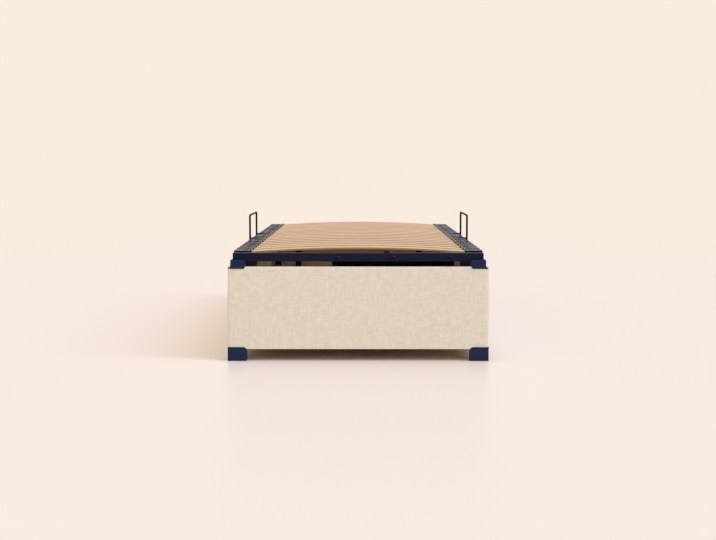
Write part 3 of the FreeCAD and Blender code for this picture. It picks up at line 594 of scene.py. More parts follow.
def settled(piece):
    """Turns what the modifiers make into the piece's own mesh."""
    mesh = made_mesh(piece)
    piece.modifiers.clear()
    piece.data = mesh
    return piece


def shade_smooth(piece, angle):
    """Smooth shading with true corners kept sharp."""
    for face in piece.data.polygons:
        face.use_smooth = True
    piece.data.set_sharp_from_angle(angle=math.radians(angle))


def even_normals(piece, angle=SMOOTH_ANGLE):
    """Smooth shading that keeps flat faces flat as well."""
    shade_smooth(piece, angle)
    weighted = piece.modifiers.new("even_normals", "WEIGHTED_NORMAL")
    weighted.keep_sharp = True
    return settled(piece)


def cad_copy(node):
    """A node's mesh with its triangles joined into whole faces."""
    bm = bmesh.new()
    bm.from_mesh(frame["nodes"][node].data)
    bmesh.ops.remove_doubles(bm, verts=bm.verts, dist=MERGE_REACH)
    bmesh.ops.dissolve_limit(bm, angle_limit=math.radians(FLAT_ANGLE), verts=bm.verts, edges=bm.edges)
    return bm


def round_over(bm, width, steps=ROUND_STEPS):
    """Rounds the sharp edges, and marks the rounded strips for the wear on them."""
    strip = bm.faces.layers.float.get("edge") or bm.faces.layers.float.new("edge")
    sharp = [e for e in bm.edges if e.is_manifold and e.calc_face_angle() > math.radians(SHARP_ANGLE)]
    made = bmesh.ops.bevel(bm, geom=sharp, offset=width, segments=steps, profile=0.5,
                           affect="EDGES", clamp_overlap=False)
    for face in made["faces"]:
        face[strip] = 1.0


def hand_over(piece, body, slot, *nodes):
    """Gives a finished piece its finish when it has none, puts it under its body and hides the nodes that it
    replaces.
    """
    if not piece.data.materials:
        piece.data.materials.append(FINISH[slot])
    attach(piece, body)
    if nodes:
        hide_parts(*nodes)


def softened(node, suffix, width, steps=ROUND_STEPS):
    """A node's own shape with rounded edges."""
    bm = cad_copy(node)
    round_over(bm, width, steps)
    piece = even_normals(mesh_piece(node + "_" + suffix, bm))
    slot = frame["nodes"][node].data.materials[0].name
    hand_over(piece, BODY_OF[node], slot, node)


def islands(bm):
    """The separate shells of a mesh, as lists of vertices."""
    left = set(bm.verts)
    shells = []
    for start in bm.verts:
        if start not in left:
            continue
        left.discard(start)
        shell = [start]
        for vert in shell:
            for edge in vert.link_edges:
                other = edge.other_vert(vert)
                if other in left:
                    left.discard(other)
                    shell.append(other)
        shells.append(shell)
    return shells


def box_of(shell):
    low = Vector([min(v.co[k] for v in shell) for k in range(3)])
    high = Vector([max(v.co[k] for v in shell) for k in range(3)])
    return low, high


def neighbours(ring):
    """Each item of a ring with the next one."""
    return zip(ring, ring[1:] + ring[:1])


def skin_rings(bm, rings, closed_ends=True):
    """Faces between rings of as many vertices each, and over the two ends."""
    for lower, upper in zip(rings, rings[1:]):
        for (a, b), (c, d) in zip(neighbours(lower), neighbours(upper)):
            bm.faces.new((a, b, d, c))
    if closed_ends:
        bm.faces.new(list(reversed(rings[0])))
        bm.faces.new(rings[-1])


def turned_rings(bm, profile, base, sides, axis=2):
    """Rings of a turned shape about one axis, from (radius, height) pairs."""
    rings = []
    for radius, height in profile:
        ring = []
        for n in range(sides):
            angle = 2 * math.pi * n / sides
            offset = [0.0, 0.0, 0.0]
            offset[axis] = height
            offset[axis - 2] = radius * math.cos(angle)
            offset[axis - 1] = radius * math.sin(angle)
            ring.append(bm.verts.new(base + Vector(offset)))
        rings.append(ring)
    return rings


def quarter_turn(steps):
    """Cosine and sine at even steps from 0 to 90 degrees."""
    angles = [math.pi / 2 * n / steps for n in range(steps + 1)]
    return [(math.cos(angle), math.sin(angle)) for angle in angles]


def add_block(bm, centre, size):
    place = Matrix.Translation(centre) @ Matrix.Diagonal((*size, 1))
    return bmesh.ops.create_cube(bm, size=1.0, matrix=place)["verts"]


# Geometry Nodes

def geometry_tree(name, **inputs):
    """An empty tree with inputs named by their kinds; returns the tree, its inputs and its output socket."""
    tree = bpy.data.node_groups.new(name, "GeometryNodeTree")
    tree.interface.new_socket("Geometry", in_out="INPUT", socket_type="NodeSocketGeometry")
    tree.interface.new_socket("Geometry", in_out="OUTPUT", socket_type="NodeSocketGeometry")
    for kind, labels in {**inputs, "Material": ["Material"]}.items():
        for label in labels:
            tree.interface.new_socket(label, in_out="INPUT", socket_type="NodeSocket" + kind)
    return tree, tree.nodes.new("NodeGroupInput").outputs, tree.nodes.new("NodeGroupOutput").inputs[0]


def finish_tree(tree, geometry, material, output):
    """The end that every tree has: real geometry with its material."""
    real = add(tree, "GeometryNodeRealizeInstances", {0: geometry})[0]
    done = add(tree, "GeometryNodeSetMaterial", {"Geometry": real, "Material": material})[0]
    tree.links.new(done, output)


def grown(name, tree, bm=None, **values):
    """A piece that a tree makes, with its inputs set by name, turned into a plain mesh."""
    piece = mesh_piece(name, bm or bmesh.new())
    modifier = piece.modifiers.new(tree.name, "NODES")
    modifier.node_group = tree
    for item in tree.interface.items_tree:
        key = item.name.replace(" ", "_")
        if item.in_out == "INPUT" and key in values:
            modifier[item.identifier] = values[key]
    return settled(piece)


def repeated(name, tree, shape, material, bm=None, **values):
    """One piece made of copies of a shape; the shape itself is taken away."""
    piece = grown(name, tree, bm, Shape=shape, Material=material, **values)
    bpy.data.objects.remove(shape)
    return piece


def store_value(tree, geometry, name, value, domain):
    return add(tree, "GeometryNodeStoreNamedAttribute", {"Geometry": geometry, "Name": name, "Value": value},
               data_type="FLOAT", domain=domain)[0]


def line_of_points(tree, count, start, step):
    ends = {"Count": count, "Start Location": start, "Offset": step}
    return add(tree, "GeometryNodeMeshLine", ends, mode="OFFSET")[0]


def copies_at(tree, points, shape, **turn):
    return add(tree, "GeometryNodeInstanceOnPoints", {"Points": points, "Instance": shape, **turn})[0]


def shape_given(tree, given):
    return add(tree, "GeometryNodeObjectInfo", {"Object": given["Shape"]})["Geometry"]


def make_slat_tree():
    """A row of bowed slats: a rounded section swept along an arc, once for each place."""
    sizes = ["Pitch", "First", "Half span", "Tip height", "Crown", "Width", "Thickness", "Edge round"]
    tree, given, output = geometry_tree("slat_row", Int=["Count", "Seed"], Float=sizes)
    tip_x, tip_z = given["Half span"], given["Tip height"]
    left = vector_of(tree, times(tree, tip_x, -1.0), 0.0, tip_z)
    middle = vector_of(tree, z=plus(tree, tip_z, given["Crown"]))
    right = vector_of(tree, tip_x, 0.0, tip_z)
    ends = {"Resolution": SLAT_ARC_POINTS, "Start": left, "Middle": middle, "End": right}
    bow = add(tree, "GeometryNodeCurveArc", ends, mode="POINTS")[0]
    level = add(tree, "GeometryNodeSetCurveNormal", {0: bow}, mode="Z_UP")[0]
    section = add(tree, "GeometryNodeCurvePrimitiveQuadrilateral",
                  {"Width": given["Width"], "Height": given["Thickness"]}, mode="RECTANGLE")[0]
    rounding = {"Curve": section, "Count": SLAT_EDGE_STEPS, "Radius": given["Edge round"]}
    rounded = add(tree, "GeometryNodeFilletCurve", rounding, mode="POLY")[0]
    height = parts_of(tree, add(tree, "GeometryNodeInputPosition")[0])[1]
    marked = store_value(tree, rounded, "ply", height, "POINT")
    sweep = {"Curve": level, "Profile Curve": marked, "Fill Caps": True}
    slat = add(tree, "GeometryNodeCurveToMesh", sweep)[0]
    smooth = add(tree, "GeometryNodeSetShadeSmooth", {0: slat})[0]
    first = vector_of(tree, y=given["First"])
    row = line_of_points(tree, given["Count"], first, vector_of(tree, y=given["Pitch"]))
    copies = copies_at(tree, row, smooth)
    chance = add(tree, "FunctionNodeRandomValue", {"Seed": given["Seed"]}, data_type="FLOAT")[1]
    toned = store_value(tree, copies, "slat_tone", chance, "INSTANCE")
    finish_tree(tree, toned, given["Material"], output)
    return tree


def make_row_tree():
    """One shape repeated along a line, from where it stands."""
    tree, given, output = geometry_tree("row_of_pieces", Object=["Shape"], Int=["Count"],
                                        Vector=["Start", "Step"])
    row = line_of_points(tree, given["Count"], given["Start"], given["Step"])
    finish_tree(tree, copies_at(tree, row, shape_given(tree, given)), given["Material"], output)
    return tree


def make_fastener_tree():
    """One fastener at each seat, its head turned out along the seat's aim and spun at random."""
    tree, given, output = geometry_tree("fasteners_at_seats", Object=["Shape"], Int=["Seed"])
    aim = add(tree, "GeometryNodeInputNamedAttribute", {"Name": "aim"}, data_type="FLOAT_VECTOR")[0]
    facing = add(tree, "FunctionNodeAlignRotationToVector", {"Vector": aim}, axis="Z")[0]
    chance = add(tree, "FunctionNodeRandomValue", {3: math.pi, "Seed": given["Seed"]}, data_type="FLOAT")[1]
    spin = add(tree, "FunctionNodeAxisAngleToRotation", {"Axis": UP, "Angle": chance})[0]
    turned = add(tree, "FunctionNodeRotateRotation", {0: facing, 1: spin}, rotation_space="LOCAL")[0]
    copies = copies_at(tree, given["Geometry"], shape_given(tree, given), Rotation=turned)
    finish_tree(tree, copies, given["Material"], output)
    return tree


SLAT_TREE = make_slat_tree()
ROW_TREE = make_row_tree()
FASTENER_TREE = make_fastener_tree()


# Upholstered covers

def ease(share):
    share = min(max(share, 0.0), 1.0)
    return share * share * (3 - 2 * share)


def row_places(length):
    """Where the cloth is divided along one side: close rows near both edges, a wide grid between."""
    count = round(length / COVER_GRID)
    inner = [length * n / count for n in range(1, count)]
    inner = [p for p in inner if COVER_EDGE_ROWS[-1] < p < length - COVER_EDGE_ROWS[-1]]
    return list(COVER_EDGE_ROWS) + inner + [length - p for p in COVER_EDGE_ROWS]


def cover_frame(side):
    """A cover's box, the way that its panel faces and the way along it."""
    low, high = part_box(side + "_panel_cover")
    out = Vector(PANELS[side])
    return low, high, out, UP.cross(out)


def panel_cover(side):
    """Tight cloth over thin padding: a slight crown, edges that roll in, and the border turned in behind."""
    node = side + "_panel_cover"
    low, high, out, along = cover_frame(side)
    face = max(low.dot(out), high.dot(out))
    start = min(low.dot(along), high.dot(along))
    length = abs((high - low).dot(along))
    height = high.z - low.z
    bm = cad_copy(node)
    for place in row_places(length):
        cut_across(bm, along * (start + place), along)
    for place in row_places(height):
        cut_across(bm, UP * (low.z + place), UP)
    for vert in bm.verts:
        depth = face - vert.co.dot(out)
        if depth > COVER_SKIN:
            continue
        across = vert.co.dot(along) - start
        rise = vert.co.z - low.z
        from_end = min(across, length - across)
        crown = COVER_CROWN * ease(min(from_end, rise, height - rise) / COVER_CROWN_REACH)
        ripple = COVER_RIPPLE * noise.noise(vert.co * COVER_RIPPLE_SCALE)
        vert.co += out * (crown + ripple - edge_roll(from_end, height - rise, rise) + depth)
    if abs(out.y) > abs(out.x):
        swell_ends(bm, along, start, length, low, height)
    lay_cloth(bm, out, along)
    piece = mesh_piece(side + "_linen_cover", bm)
    shade_smooth(piece, COVER_CORNER_ANGLE)
    hand_over(piece, "base", "cream_fabric", node)


def edge_roll(from_end, from_top, from_bottom):
    """How far the cloth has turned back at these distances from the edges of a panel."""
    end_share = max(0.0, 1 - from_end / COVER_ROLL_ENDS)
    level_share = max(0.0, 1 - from_top / COVER_ROLL_TOP, 1 - from_bottom / COVER_ROLL_BOTTOM)
    turned = min(1.0, end_share ** 2 + level_share ** 2)
    return COVER_ROLL_DEPTH * (1 - math.sqrt(1 - turned))


def swell_ends(bm, along, start, length, low, height):
    """The padding swells a little where the cloth goes round the ends of a panel."""
    for vert in bm.verts:
        across = vert.co.dot(along) - start
        if min(across, length - across) > COVER_SKIN:
            continue
        way = -1 if across < length / 2 else 1
        swell = COVER_END_BULGE * ease(2 * min(vert.co.z - low.z, low.z + height - vert.co.z) / height)
        vert.co += along * (way * swell)


def cut_across(bm, point, normal):
    geometry = list(bm.verts) + list(bm.edges) + list(bm.faces)
    bmesh.ops.bisect_plane(bm, geom=geometry, dist=MERGE_REACH, plane_co=point, plane_no=normal)


def lay_cloth(bm, out, along):
    """A map in metres that goes over the edges with the cloth, so the weave follows it."""
    layer = bm.loops.layers.uv.new("cloth")
    for face in bm.faces:
        on_edge = abs(face.normal.z) > COVER_TURNED_SHARE
        on_end = abs(face.normal.dot(along)) > COVER_TURNED_SHARE
        for loop in face.loops:
            point = loop.vert.co
            depth = point.dot(out)
            across = point.dot(along) + (depth if on_end else 0.0)
            rise = point.z + (depth if on_edge else 0.0)
            loop[layer].uv = (across, rise)


def cover_staples(side):
    """Staples through the border that is turned in along the top of a panel."""
    low, high, out, along = cover_frame(side)
    inner = min(low.dot(out), high.dot(out))
    reach = min(abs(low.dot(along)), STAPLE_LIMIT[side]) - STAPLE_END_GAP
    count = int(2 * reach / STAPLE_STEP)
    first = along * (-reach) + out * inner + UP * (high.z - STAPLE_DROP)
    piece = repeated(side + "_staples", ROW_TREE, staple_shape(along, out), FINISH["zinc_steel"],
                     Count=count, Start=first, Step=along * (2 * reach / (count - 1)))
    hand_over(piece, "base", "zinc_steel")


def staple_shape(along, out):
    """The crown of one staple, a wire that is bent into the board at both ends."""
    bm = bmesh.new()
    half = STAPLE_CROWN / 2
    start = [(-half, STAPLE_TIP), (-half, 0), (-half + STAPLE_TIP, -STAPLE_WIRE)]
    route = start + [(-across, depth) for across, depth in reversed(start)]
    rings = []
    for across, depth in route:
        centre = along * across + out * depth
        rings.append([bm.verts.new(centre + UP * (a * STAPLE_WIRE / 2) + out * (b * STAPLE_WIRE / 2))
                      for a, b in WIRE_CORNERS])
    skin_rings(bm, rings)
    bmesh.ops.recalc_face_normals(bm, faces=bm.faces)
    return mesh_piece("staple_shape", bm)


# Slats and their holders

def slat_row():
    names = sorted(n for n in frame["nodes"] if n.startswith("slat_") and n[-2:].isdigit())
    low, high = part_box(names[0])
    last_low, last_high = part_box(names[-1])
    first = (low.y + high.y) / 2
    pitch = ((last_low.y + last_high.y) / 2 - first) / (len(names) - 1)
    piece = grown("birch_slats", SLAT_TREE, Count=len(names), Pitch=pitch, First=first, Half_span=high.x,
                  Tip_height=low.z + SLAT_THICKNESS / 2, Crown=high.z - low.z - SLAT_THICKNESS,
                  Width=high.y - low.y, Thickness=SLAT_THICKNESS, Edge_round=SLAT_EDGE_ROUND,
                  Seed=SLAT_SEED, Material=FINISH["birch"])
    hand_over(piece, "deck", "birch", *names)


def slat_holders(side):
    """The first holder of a row with soft edges, ribs, a lip and its peg, repeated along the rail."""
    node = side + "_slat_holders"
    bm = cad_copy(node)
    shells = sorted(islands(bm), key=lambda shell: min(v.co.y for v in shell))
    boxes = [box_of(shell) for shell in shells]
    bmesh.ops.delete(bm, geom=[v for shell in shells[1:] for v in shell], context="VERTS")
    round_over(bm, HOLDER_ROUND)
    low, high = boxes[0]
    add_holder_details(bm, side, low, high)
    shape = even_normals(mesh_piece(side + "_holder_shape", bm))
    pitch = (boxes[-1][0].y - low.y) / (len(boxes) - 1)
    piece = repeated(side + "_holder_row", ROW_TREE, shape, HOLDER_FINISH,
                     Count=len(boxes), Start=ORIGIN, Step=Vector((0, pitch, 0)))
    hand_over(piece, "deck", "navy_plastic", node)


def add_holder_details(bm, side, low, high):
    """Ribs over the pocket, a lip over its mouth and the domed head of the peg that goes into the rail."""
    rail_low, rail_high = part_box(side + "_side_rail")
    rail_middle = (rail_low.x + rail_high.x) / 2
    rail_edge, mouth = (rail_high.x, high.x) if side == "left" else (rail_low.x, low.x)
    middle = (low.y + high.y) / 2
    width = high.y - low.y
    size = Vector((abs(mouth - rail_edge) * HOLDER_RIB_REACH, HOLDER_RIB_WIDTH, 2 * HOLDER_RIB_RISE))
    x = rail_edge + (mouth - rail_edge) * HOLDER_RIB_REACH / 2
    for share in HOLDER_RIB_SHARES:
        soft_block(bm, Vector((x, middle + share * width, high.z)), size)
    size = Vector((HOLDER_LIP_DEPTH, width - 2 * HOLDER_LIP_INSET, HOLDER_LIP_RISE + HOLDER_LIP_ROOT))
    x = mouth + math.copysign(HOLDER_LIP_SETBACK + HOLDER_LIP_DEPTH / 2, rail_edge - mouth)
    soft_block(bm, Vector((x, middle, high.z + (HOLDER_LIP_RISE - HOLDER_LIP_ROOT) / 2)), size)
    profile = [(HOLDER_PEG_RADIUS * wide, HOLDER_PEG_RISE * rise) for wide, rise in HOLDER_PEG_SHARES]
    skin_rings(bm, turned_rings(bm, profile, Vector((rail_middle, middle, high.z)), HOLDER_PEG_SIDES))


def soft_block(bm, centre, size):
    """A small block with softened edges."""
    edges = {e for v in add_block(bm, centre, size) for e in v.link_edges}
    bmesh.ops.bevel(bm, geom=list(edges), offset=HOLDER_DETAIL_ROUND, segments=THIN_STEPS, profile=0.5,
                    affect="EDGES")


# Mattress retainers

def mattress_retainer(side):
    """A bent rod on two angle brackets, with the weld beads along its feet."""
    node = side + "_mattress_retainer"
    low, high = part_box(node)
    rail_low, rail_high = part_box(side + "_side_rail")
    sign = SIDES[side]
    rod_x = sign * (max(abs(low.x), abs(high.x)) - ROD_RADIUS)
    rail_out = sign * max(abs(rail_low.x), abs(rail_high.x))
    rail_in = sign * min(abs(rail_low.x), abs(rail_high.x))
    posts = (low.y + BRACKET_WIDTH / 2, high.y - BRACKET_WIDTH / 2)
    foot = rail_high.z - ROD_POST_DROP
    bead_x = rail_out + sign * BRACKET_THICKNESS
    bm = bmesh.new()
    for y in posts:
        angle_bracket(bm, rail_in, rail_out, sign, y, rail_high.z)
    round_over(bm, PLATE_ROUND)
    for y in posts:
        for way in (-1, 1):
            weld_bead(bm, Vector((bead_x, y + way * ROD_RADIUS, foot)), rail_high.z - foot)
    rod = rod_mesh(rod_x, posts, foot, high.z - ROD_RADIUS)
    bm.from_mesh(rod)
    bpy.data.meshes.remove(rod)
    piece = even_normals(mesh_piece(side + "_mattress_loop", bm))
    hand_over(piece, "deck", "black_steel", node)


def angle_bracket(bm, rail_in, rail_out, sign, y, rail_top):
    """An L-shaped plate over the rail's top and outer face, its front edge turned up."""
    outer = rail_out + sign * BRACKET_THICKNESS
    upper = rail_top + BRACKET_THICKNESS
    lower = rail_top - BRACKET_DROP
    outline = [(rail_in, rail_top), (rail_in, upper), (outer, upper), (outer, lower), (rail_out, lower),
               (rail_out, rail_top)]
    ends = (y - BRACKET_WIDTH / 2, y + BRACKET_WIDTH / 2)
    skin_rings(bm, [[bm.verts.new((x, end, z)) for x, z in outline] for end in ends])
    front = y - (BRACKET_WIDTH - BRACKET_THICKNESS) / 2
    lip = Vector((abs(outer - rail_in), BRACKET_THICKNESS, BRACKET_LIP))
    add_block(bm, Vector(((rail_in + outer) / 2, front, rail_top + BRACKET_LIP / 2)), lip)
    bmesh.ops.recalc_face_normals(bm, faces=bm.faces)


def weld_bead(bm, foot, length):
    """A run of overlapping drops of weld metal up one side of the rod."""
    for n in range(int(length / BEAD_STEP)):
        centre = foot + Vector((0, 0, (n + 0.5) * BEAD_STEP))
        place = Matrix.Translation(centre) @ Matrix.Diagonal((*BEAD_STRETCH, 1.0))
        bmesh.ops.create_icosphere(bm, subdivisions=BEAD_DETAIL, radius=BEAD_RADIUS, matrix=place)


def rod_mesh(x, posts, foot, top):
    """The rod as a smooth tube with a bend at each upper corner."""
    first, last = posts
    bend = [(ROD_BEND * (1 - cosine), ROD_BEND * (1 - sine)) for cosine, sine in quarter_turn(BEND_STEPS)]
    route = [(x, first, foot)]
    route += [(x, first + near, top - far) for near, far in bend]
    route += [(x, last - far, top - near) for near, far in bend]
    route.append((x, last, foot))
    curve = bpy.data.curves.new("rod_line", "CURVE")
    curve.dimensions = "3D"
    curve.bevel_depth = ROD_RADIUS
    curve.bevel_resolution = ROD_ROUNDNESS
    curve.use_fill_caps = True
    spline = curve.splines.new("POLY")
    spline.points.add(len(route) - 1)
    for point, place in zip(spline.points, route):
        point.co = (*place, 1.0)
    line = new_object("rod_line", curve)
    mesh = made_mesh(line)
    bpy.data.objects.remove(line)
    return mesh


# Fasteners

def seats_of(node, head_share):
    """Seat, aim and sizes of each fastener in a node: the wide end of a shell is its head."""
    bm = cad_copy(node)
    found = []
    for shell in islands(bm):
        low, high = box_of(shell)
        size = high - low
        axis = max(range(3), key=lambda k: size[k])
        centre = (low + high) / 2
        spans = {}
        for vert in shell:
            offset = vert.co - centre
            offset[axis] = 0.0
            spans.setdefault(round(vert.co[axis], 5), []).append(offset.length)
        widest = max(max(radii) for radii in spans.values())
        at_head = [place for place, radii in spans.items() if max(radii) > widest * head_share]
        outer = low[axis] if abs(min(at_head) - low[axis]) < abs(high[axis] - max(at_head)) else high[axis]
        inner = max(at_head, key=lambda place: abs(place - outer))
        aim = Vector((0, 0, 0))
        aim[axis] = 1.0 if outer == high[axis] else -1.0
        seat = centre.copy()
        seat[axis] = inner
        head = abs(outer - inner)
        found.append({"seat": seat, "aim": aim, "radius": widest, "head": head, "length": size[axis] - head})
    bm.free()
    return found


def seat_points(seats):
    """A mesh of loose points that carry the fasteners' directions."""
    bm = bmesh.new()
    layer = bm.verts.layers.float_vector.new("aim")
    for seat in seats:
        point = bm.verts.new(seat["seat"])
        point[layer] = seat["aim"]
    return bm


def at_seats(name, seats, shape, material):
    return repeated(name, FASTENER_TREE, shape, material, seat_points(seats), Seed=FASTENER_SEED)


def recess_outline(kind, radius):
    """Corner points of a cross or of a hexagon about the middle of a head."""
    if kind == "socket":
        reach = radius * SOCKET_REACH_SHARE
        angles = [2 * math.pi * n / HEXAGON for n in range(HEXAGON)]
        return [(reach * math.cos(angle), reach * math.sin(angle)) for angle in angles]
    reach = radius * CROSS_REACH_SHARE
    arm = radius * CROSS_ARM_SHARE
    points = []
    for cosine, sine in ((1, 0), (0, 1), (-1, 0), (0, -1)):
        for across, up in ((reach, -arm), (reach, arm), (arm, arm)):
            points.append((across * cosine - up * sine, across * sine + up * cosine))
    return points


def fastener_shape(name, kind, seat, shank_share, with_nut=False):
    """A domed head with its recess, a shank below it and, on a bolt, the nut at the end of the shank."""
    radius, head, length = seat["radius"], seat["head"], seat["length"]
    shank = radius * shank_share
    bm = bmesh.new()
    profile = [(shank, -length), (shank, 0), (radius, 0)]
    for cosine, sine in quarter_turn(DOME_STEPS):
        share = HEAD_FLAT_SHARE + (1 - HEAD_FLAT_SHARE) * cosine
        rise = HEAD_RIM_SHARE + (1 - HEAD_RIM_SHARE) * sine
        profile.append((radius * share, head * rise))
    rings = turned_rings(bm, profile, ORIGIN, SCREW_SIDES)
    skin_rings(bm, rings, closed_ends=False)
    bm.faces.new(list(reversed(rings[0])))
    rim = [bm.edges.get(pair) for pair in neighbours(rings[-1])]
    outline = recess_outline(kind, radius)
    floor = head * (1 - RECESS_DEPTH_SHARE)
    mouth = [bm.verts.new((x, y, head)) for x, y in outline]
    bottom = [bm.verts.new((x * RECESS_TAPER, y * RECESS_TAPER, floor)) for x, y in outline]
    lip = [bm.edges.new(pair) for pair in neighbours(mouth)]
    bmesh.ops.triangle_fill(bm, use_beauty=True, edges=rim + lip)
    skin_rings(bm, [mouth, bottom], closed_ends=False)
    bm.faces.new(bottom)
    bmesh.ops.recalc_face_normals(bm, faces=bm.faces)
    if with_nut:
        wide, high = radius * BOLT_NUT_WIDTH_SHARE, head * BOLT_NUT_HEIGHT_SHARE
        profile = [(wide * NUT_CHAMFER_SHARE, -length), (wide, -length + high * NUT_CHAMFER_RISE),
                   (wide, -length + high)]
        skin_rings(bm, turned_rings(bm, profile, ORIGIN, HEXAGON))
    return even_normals(mesh_piece(name, bm), FASTENER_ANGLE)


def panel_screws():
    seats = seats_of("panel_screws", SCREW_HEAD_SHARE)
    shape = fastener_shape("screw_shape", "cross", seats[0], SCREW_SHANK_SHARE)
    piece = at_seats("panel_wood_screws", seats, shape, FINISH["zinc_steel"])
    hand_over(piece, "base", "zinc_steel", "panel_screws")


def deck_bolts():
    """The bolts of the retainers and of the grip plate, which differ in length."""
    seats = seats_of("deck_bolts", BOLT_HEAD_SHARE)
    for name, upright in (("retainer_bolts", True), ("grip_plate_bolts", False)):
        chosen = [seat for seat in seats if (seat["aim"].z != 0) == upright]
        shape = fastener_shape(name + "_shape", "socket", chosen[0], BOLT_SHANK_SHARE, with_nut=True)
        piece = at_seats(name, chosen, shape, BOLT_FINISH)
        hand_over(piece, "deck", "black_steel", "deck_bolts")


def headboard_nuts():
    """Closed nuts welded over the bolt holes on the inside of the headboard plates."""
    plate_low, plate_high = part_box("headboard_plates")
    column = plate_high.x - HEADBOARD_PLATE_WIDTH / 2
    middle = (plate_low.z + plate_high.z) / 2
    seats = []
    for x in (-column, column):
        for rise in (-HEADBOARD_HOLE_RISE / 2, HEADBOARD_HOLE_RISE / 2):
            seats.append({"seat": Vector((x, plate_low.y, middle + rise)), "aim": Vector((0, -1, 0))})
    bm = bmesh.new()
    shoulder = CAP_NUT_HEIGHT * NUT_CHAMFER_SHARE
    profile = [(CAP_NUT_RADIUS, -PLATE_ROUND), (CAP_NUT_RADIUS, shoulder),
               (CAP_NUT_RADIUS * NUT_CHAMFER_SHARE, CAP_NUT_HEIGHT)]
    skin_rings(bm, turned_rings(bm, profile, ORIGIN, HEXAGON))
    reach = CAP_NUT_RADIUS * CAP_NUT_DOME_SHARE
    dome = [(reach, shoulder)]
    for cosine, sine in quarter_turn(DOME_STEPS)[1:-1]:
        dome.append((reach * cosine, CAP_NUT_HEIGHT + reach * sine))
    skin_rings(bm, turned_rings(bm, dome, ORIGIN, SCREW_SIDES))
    shape = even_normals(mesh_piece("nut_shape", bm), FASTENER_ANGLE)
    piece = at_seats("headboard_cap_nuts", seats, shape, FINISH["black_steel"])
    hand_over(piece, "base", "black_steel")


def stud_sleeve(side):
    """A black spacer tube on the stud between a strut anchor and the strut's lower eye."""
    eye_low, eye_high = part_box(side + "_strut_cylinder")
    anchor_low, anchor_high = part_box("strut_anchors")
    sign = SIDES[side]
    inner = sign * (max(abs(eye_low.x), abs(eye_high.x)) - STRUT_TUBE_BULGE)
    outer = sign * (anchor_high.x - ANCHOR_THICKNESS - SLEEVE_START)
    lip = sign * SLEEVE_LIP
    profile = [(SLEEVE_RADIUS - SLEEVE_LIP, outer), (SLEEVE_RADIUS, outer - lip),
               (SLEEVE_RADIUS, inner + lip), (SLEEVE_RADIUS - SLEEVE_LIP, inner)]
    centre = Vector((0, (anchor_low.y + anchor_high.y) / 2, (anchor_low.z + anchor_high.z) / 2))
    bm = bmesh.new()
    skin_rings(bm, turned_rings(bm, profile, centre, SLEEVE_SIDES, axis=0))
    bmesh.ops.recalc_face_normals(bm, faces=bm.faces)
    piece = even_normals(mesh_piece(side + "_stud_sleeve", bm))
    hand_over(piece, "base", "rubber")


# Battens and boards

def boarding(name, bm, material, node):
    """Softens the edges of boards that have a finish of their own."""
    round_over(bm, BOARD_ROUND, THIN_STEPS)
    piece = even_normals(mesh_piece(name, bm))
    piece.data.materials.append(material)
    hand_over(piece, "base", "panel_board", node)


def floor_battens():
    """The ledges and bearers, marked with the way that their grain runs."""
    bm = cad_copy("floor_supports")
    layer = bm.verts.layers.float.new("across")
    for shell in islands(bm):
        low, high = box_of(shell)
        for vert in shell:
            vert[layer] = 1.0 if high.x - low.x > high.y - low.y else 0.0
    boarding("floor_battens", bm, PINE, "floor_supports")


def dress_box():
    for side in PANELS:
        panel_cover(side)
        softened(side + "_panel_board", "core", BOARD_ROUND, THIN_STEPS)
    for side in PANELS:
        cover_staples(side)
    for corner in CORNERS:
        softened(corner + "_foot", "moulding", MOULDING_ROUND)
        softened(corner + "_cap", "moulding", MOULDING_ROUND)
    softened("foot_glides", "pads", GLIDE_ROUND, THIN_STEPS)
    for node in ("corner_brackets", "hinge_brackets", "strut_anchors"):
        softened(node, "plates", PLATE_ROUND, THIN_STEPS)
    softened("headboard_plates", "steel", PLATE_ROUND, THIN_STEPS)
    softened("side_stiffeners", "flats", PLATE_ROUND, THIN_STEPS)
    headboard_nuts()
    for side in SIDES:
        stud_sleeve(side)
    floor_battens()
    boarding("storage_floor", cad_copy("floor_boards"), HARDBOARD, "floor_boards")
    panel_screws()


def dress_deck():
    for rail in ("foot_rail", "head_rail", "left_side_rail", "right_side_rail"):
        softened(rail, "tube", TUBE_ROUND)
    softened("mid_crossbar", "tube", CROSSBAR_ROUND)
    slat_row()
    for side in SIDES:
        slat_holders(side)
        mattress_retainer(side)
    softened("grip_plate", "steel", PLATE_ROUND, THIN_STEPS)
    softened("slat_buffer", "pad", RUBBER_ROUND)
    softened("strut_lugs", "plates", PLATE_ROUND, THIN_STEPS)
    softened("hinge_bolts", "turned", TURNED_ROUND)
    deck_bolts()


def dress_struts():
    for side in SIDES:
        softened(side + "_strut_cylinder", "tube", TURNED_ROUND)
        softened(side + "_strut_rod", "bar", TURNED_ROUND)


# Stage, light and camera

def background_rays(tree):
    """1 where the camera, a mirror or glass looks at the background itself."""
    rays = add(tree, "ShaderNodeLightPath")
    seen = maths(tree, "MAXIMUM", rays["Is Camera Ray"], rays["Is Glossy Ray"])
    return maths(tree, "MAXIMUM", seen, rays["Is Transmission Ray"])


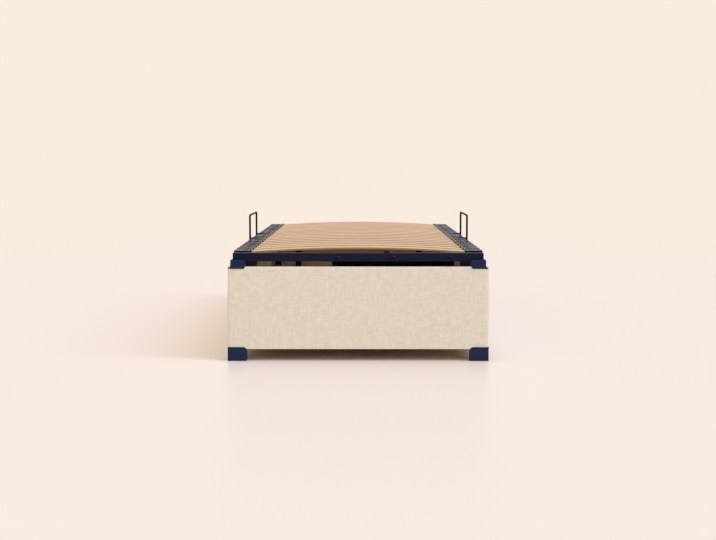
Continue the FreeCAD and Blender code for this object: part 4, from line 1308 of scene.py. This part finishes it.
def pale_floor():
    """A large pale floor that keeps the shadow and fades into the backdrop far from the bed."""
    bm = bmesh.new()
    bmesh.ops.create_circle(bm, cap_ends=True, radius=FLOOR_RADIUS, segments=FLOOR_SIDES)
    floor = mesh_piece("floor", bm)
    material, tree = new_material("pale_floor", Base_Color=FLOOR_COLOUR, Roughness=FLOOR_ROUGHNESS,
                                  Specular_IOR_Level=FLOOR_GLOSS)
    distance = add(tree, "ShaderNodeVectorMath", {0: object_place(tree)}, operation="LENGTH")["Value"]
    far = spread(tree, distance, FLOOR_FADE)
    mirrored = add(tree, "ShaderNodeLightPath")["Is Glossy Ray"]
    level = maths(tree, "SUBTRACT", 1.0, times(tree, mirrored, 1 - ROOM_DIMNESS))
    glow = add(tree, "ShaderNodeEmission", {"Color": BACKDROP, "Strength": level})[0]
    share = maths(tree, "MAXIMUM", times(tree, far, background_rays(tree)), mirrored)
    paint = tree.nodes["Principled BSDF"].outputs[0]
    mixed = add(tree, "ShaderNodeMixShader", {0: share, 1: paint, 2: glow})[0]
    tree.links.new(mixed, tree.nodes["Material Output"].inputs["Surface"])
    floor.data.materials.append(material)


def soft_light():
    """An even warm sky, brighter in front, behind a plain backdrop; mirrors see a dim room in front."""
    world = bpy.data.worlds.new("studio")
    bpy.context.scene.world = world
    world.use_nodes = True
    tree = world.node_tree
    sky = tree.nodes["Background"]
    camera_rays = add(tree, "ShaderNodeLightPath")["Is Camera Ray"]
    depth = parts_of(tree, add(tree, "ShaderNodeTexCoord")["Generated"])[1]
    gain = spread(tree, depth, SKY_DEPTH, (1 + SKY_FRONT_GAIN, 1 - SKY_FRONT_GAIN))
    tree.links.new(times(tree, gain, SKY_STRENGTH), sky.inputs["Strength"])
    tint = blend_colour(tree, spread(tree, depth, SKY_DEPTH), SKY_FRONT_COLOUR, SKY_REAR_COLOUR)
    tree.links.new(tint, sky.inputs["Color"])
    mirrored = spread(tree, depth, ROOM_DEPTH, (ROOM_DIMNESS, 1.0))
    level = maths(tree, "MAXIMUM", mirrored, camera_rays)
    seen = add(tree, "ShaderNodeBackground", {"Color": BACKDROP, "Strength": level})[0]
    mixed = add(tree, "ShaderNodeMixShader", {0: background_rays(tree), 1: sky.outputs[0], 2: seen})[0]
    tree.links.new(mixed, tree.nodes["World Output"].inputs["Surface"])


def key_arc():
    """Lamps in an arc above the right side: one tall soft light, wide in height and narrow along the bed."""
    sway = math.radians(KEY_SWAY)
    for number, tilt in enumerate(math.radians(t) for t in KEY_TILTS):
        lamp = bpy.data.lights.new("key_%d" % number, "SUN")
        lamp.energy = KEY_STRENGTH
        lamp.angle = math.radians(KEY_SPREAD)
        lamp.color = KEY_COLOUR
        key = new_object("key_%d" % number, lamp)
        way = Vector((math.cos(tilt) * math.cos(sway), -math.sin(sway), math.sin(tilt) * math.cos(sway)))
        key.rotation_euler = way.to_track_quat("Z", "Y").to_euler()


def photo_camera():
    lens = bpy.data.cameras.new("camera")
    lens.lens = CAMERA_LENS
    lens.sensor_width = SENSOR_WIDTH
    camera = new_object("camera", lens)
    camera.location = CAMERA_PLACE
    camera.rotation_euler = (math.radians(CAMERA_TILT), 0, math.radians(CAMERA_TURN))
    bpy.context.scene.camera = camera


bpy.context.scene.view_settings.view_transform = "Standard"
dress_box()
dress_deck()
dress_struts()
pale_floor()
soft_light()
key_arc()
photo_camera()
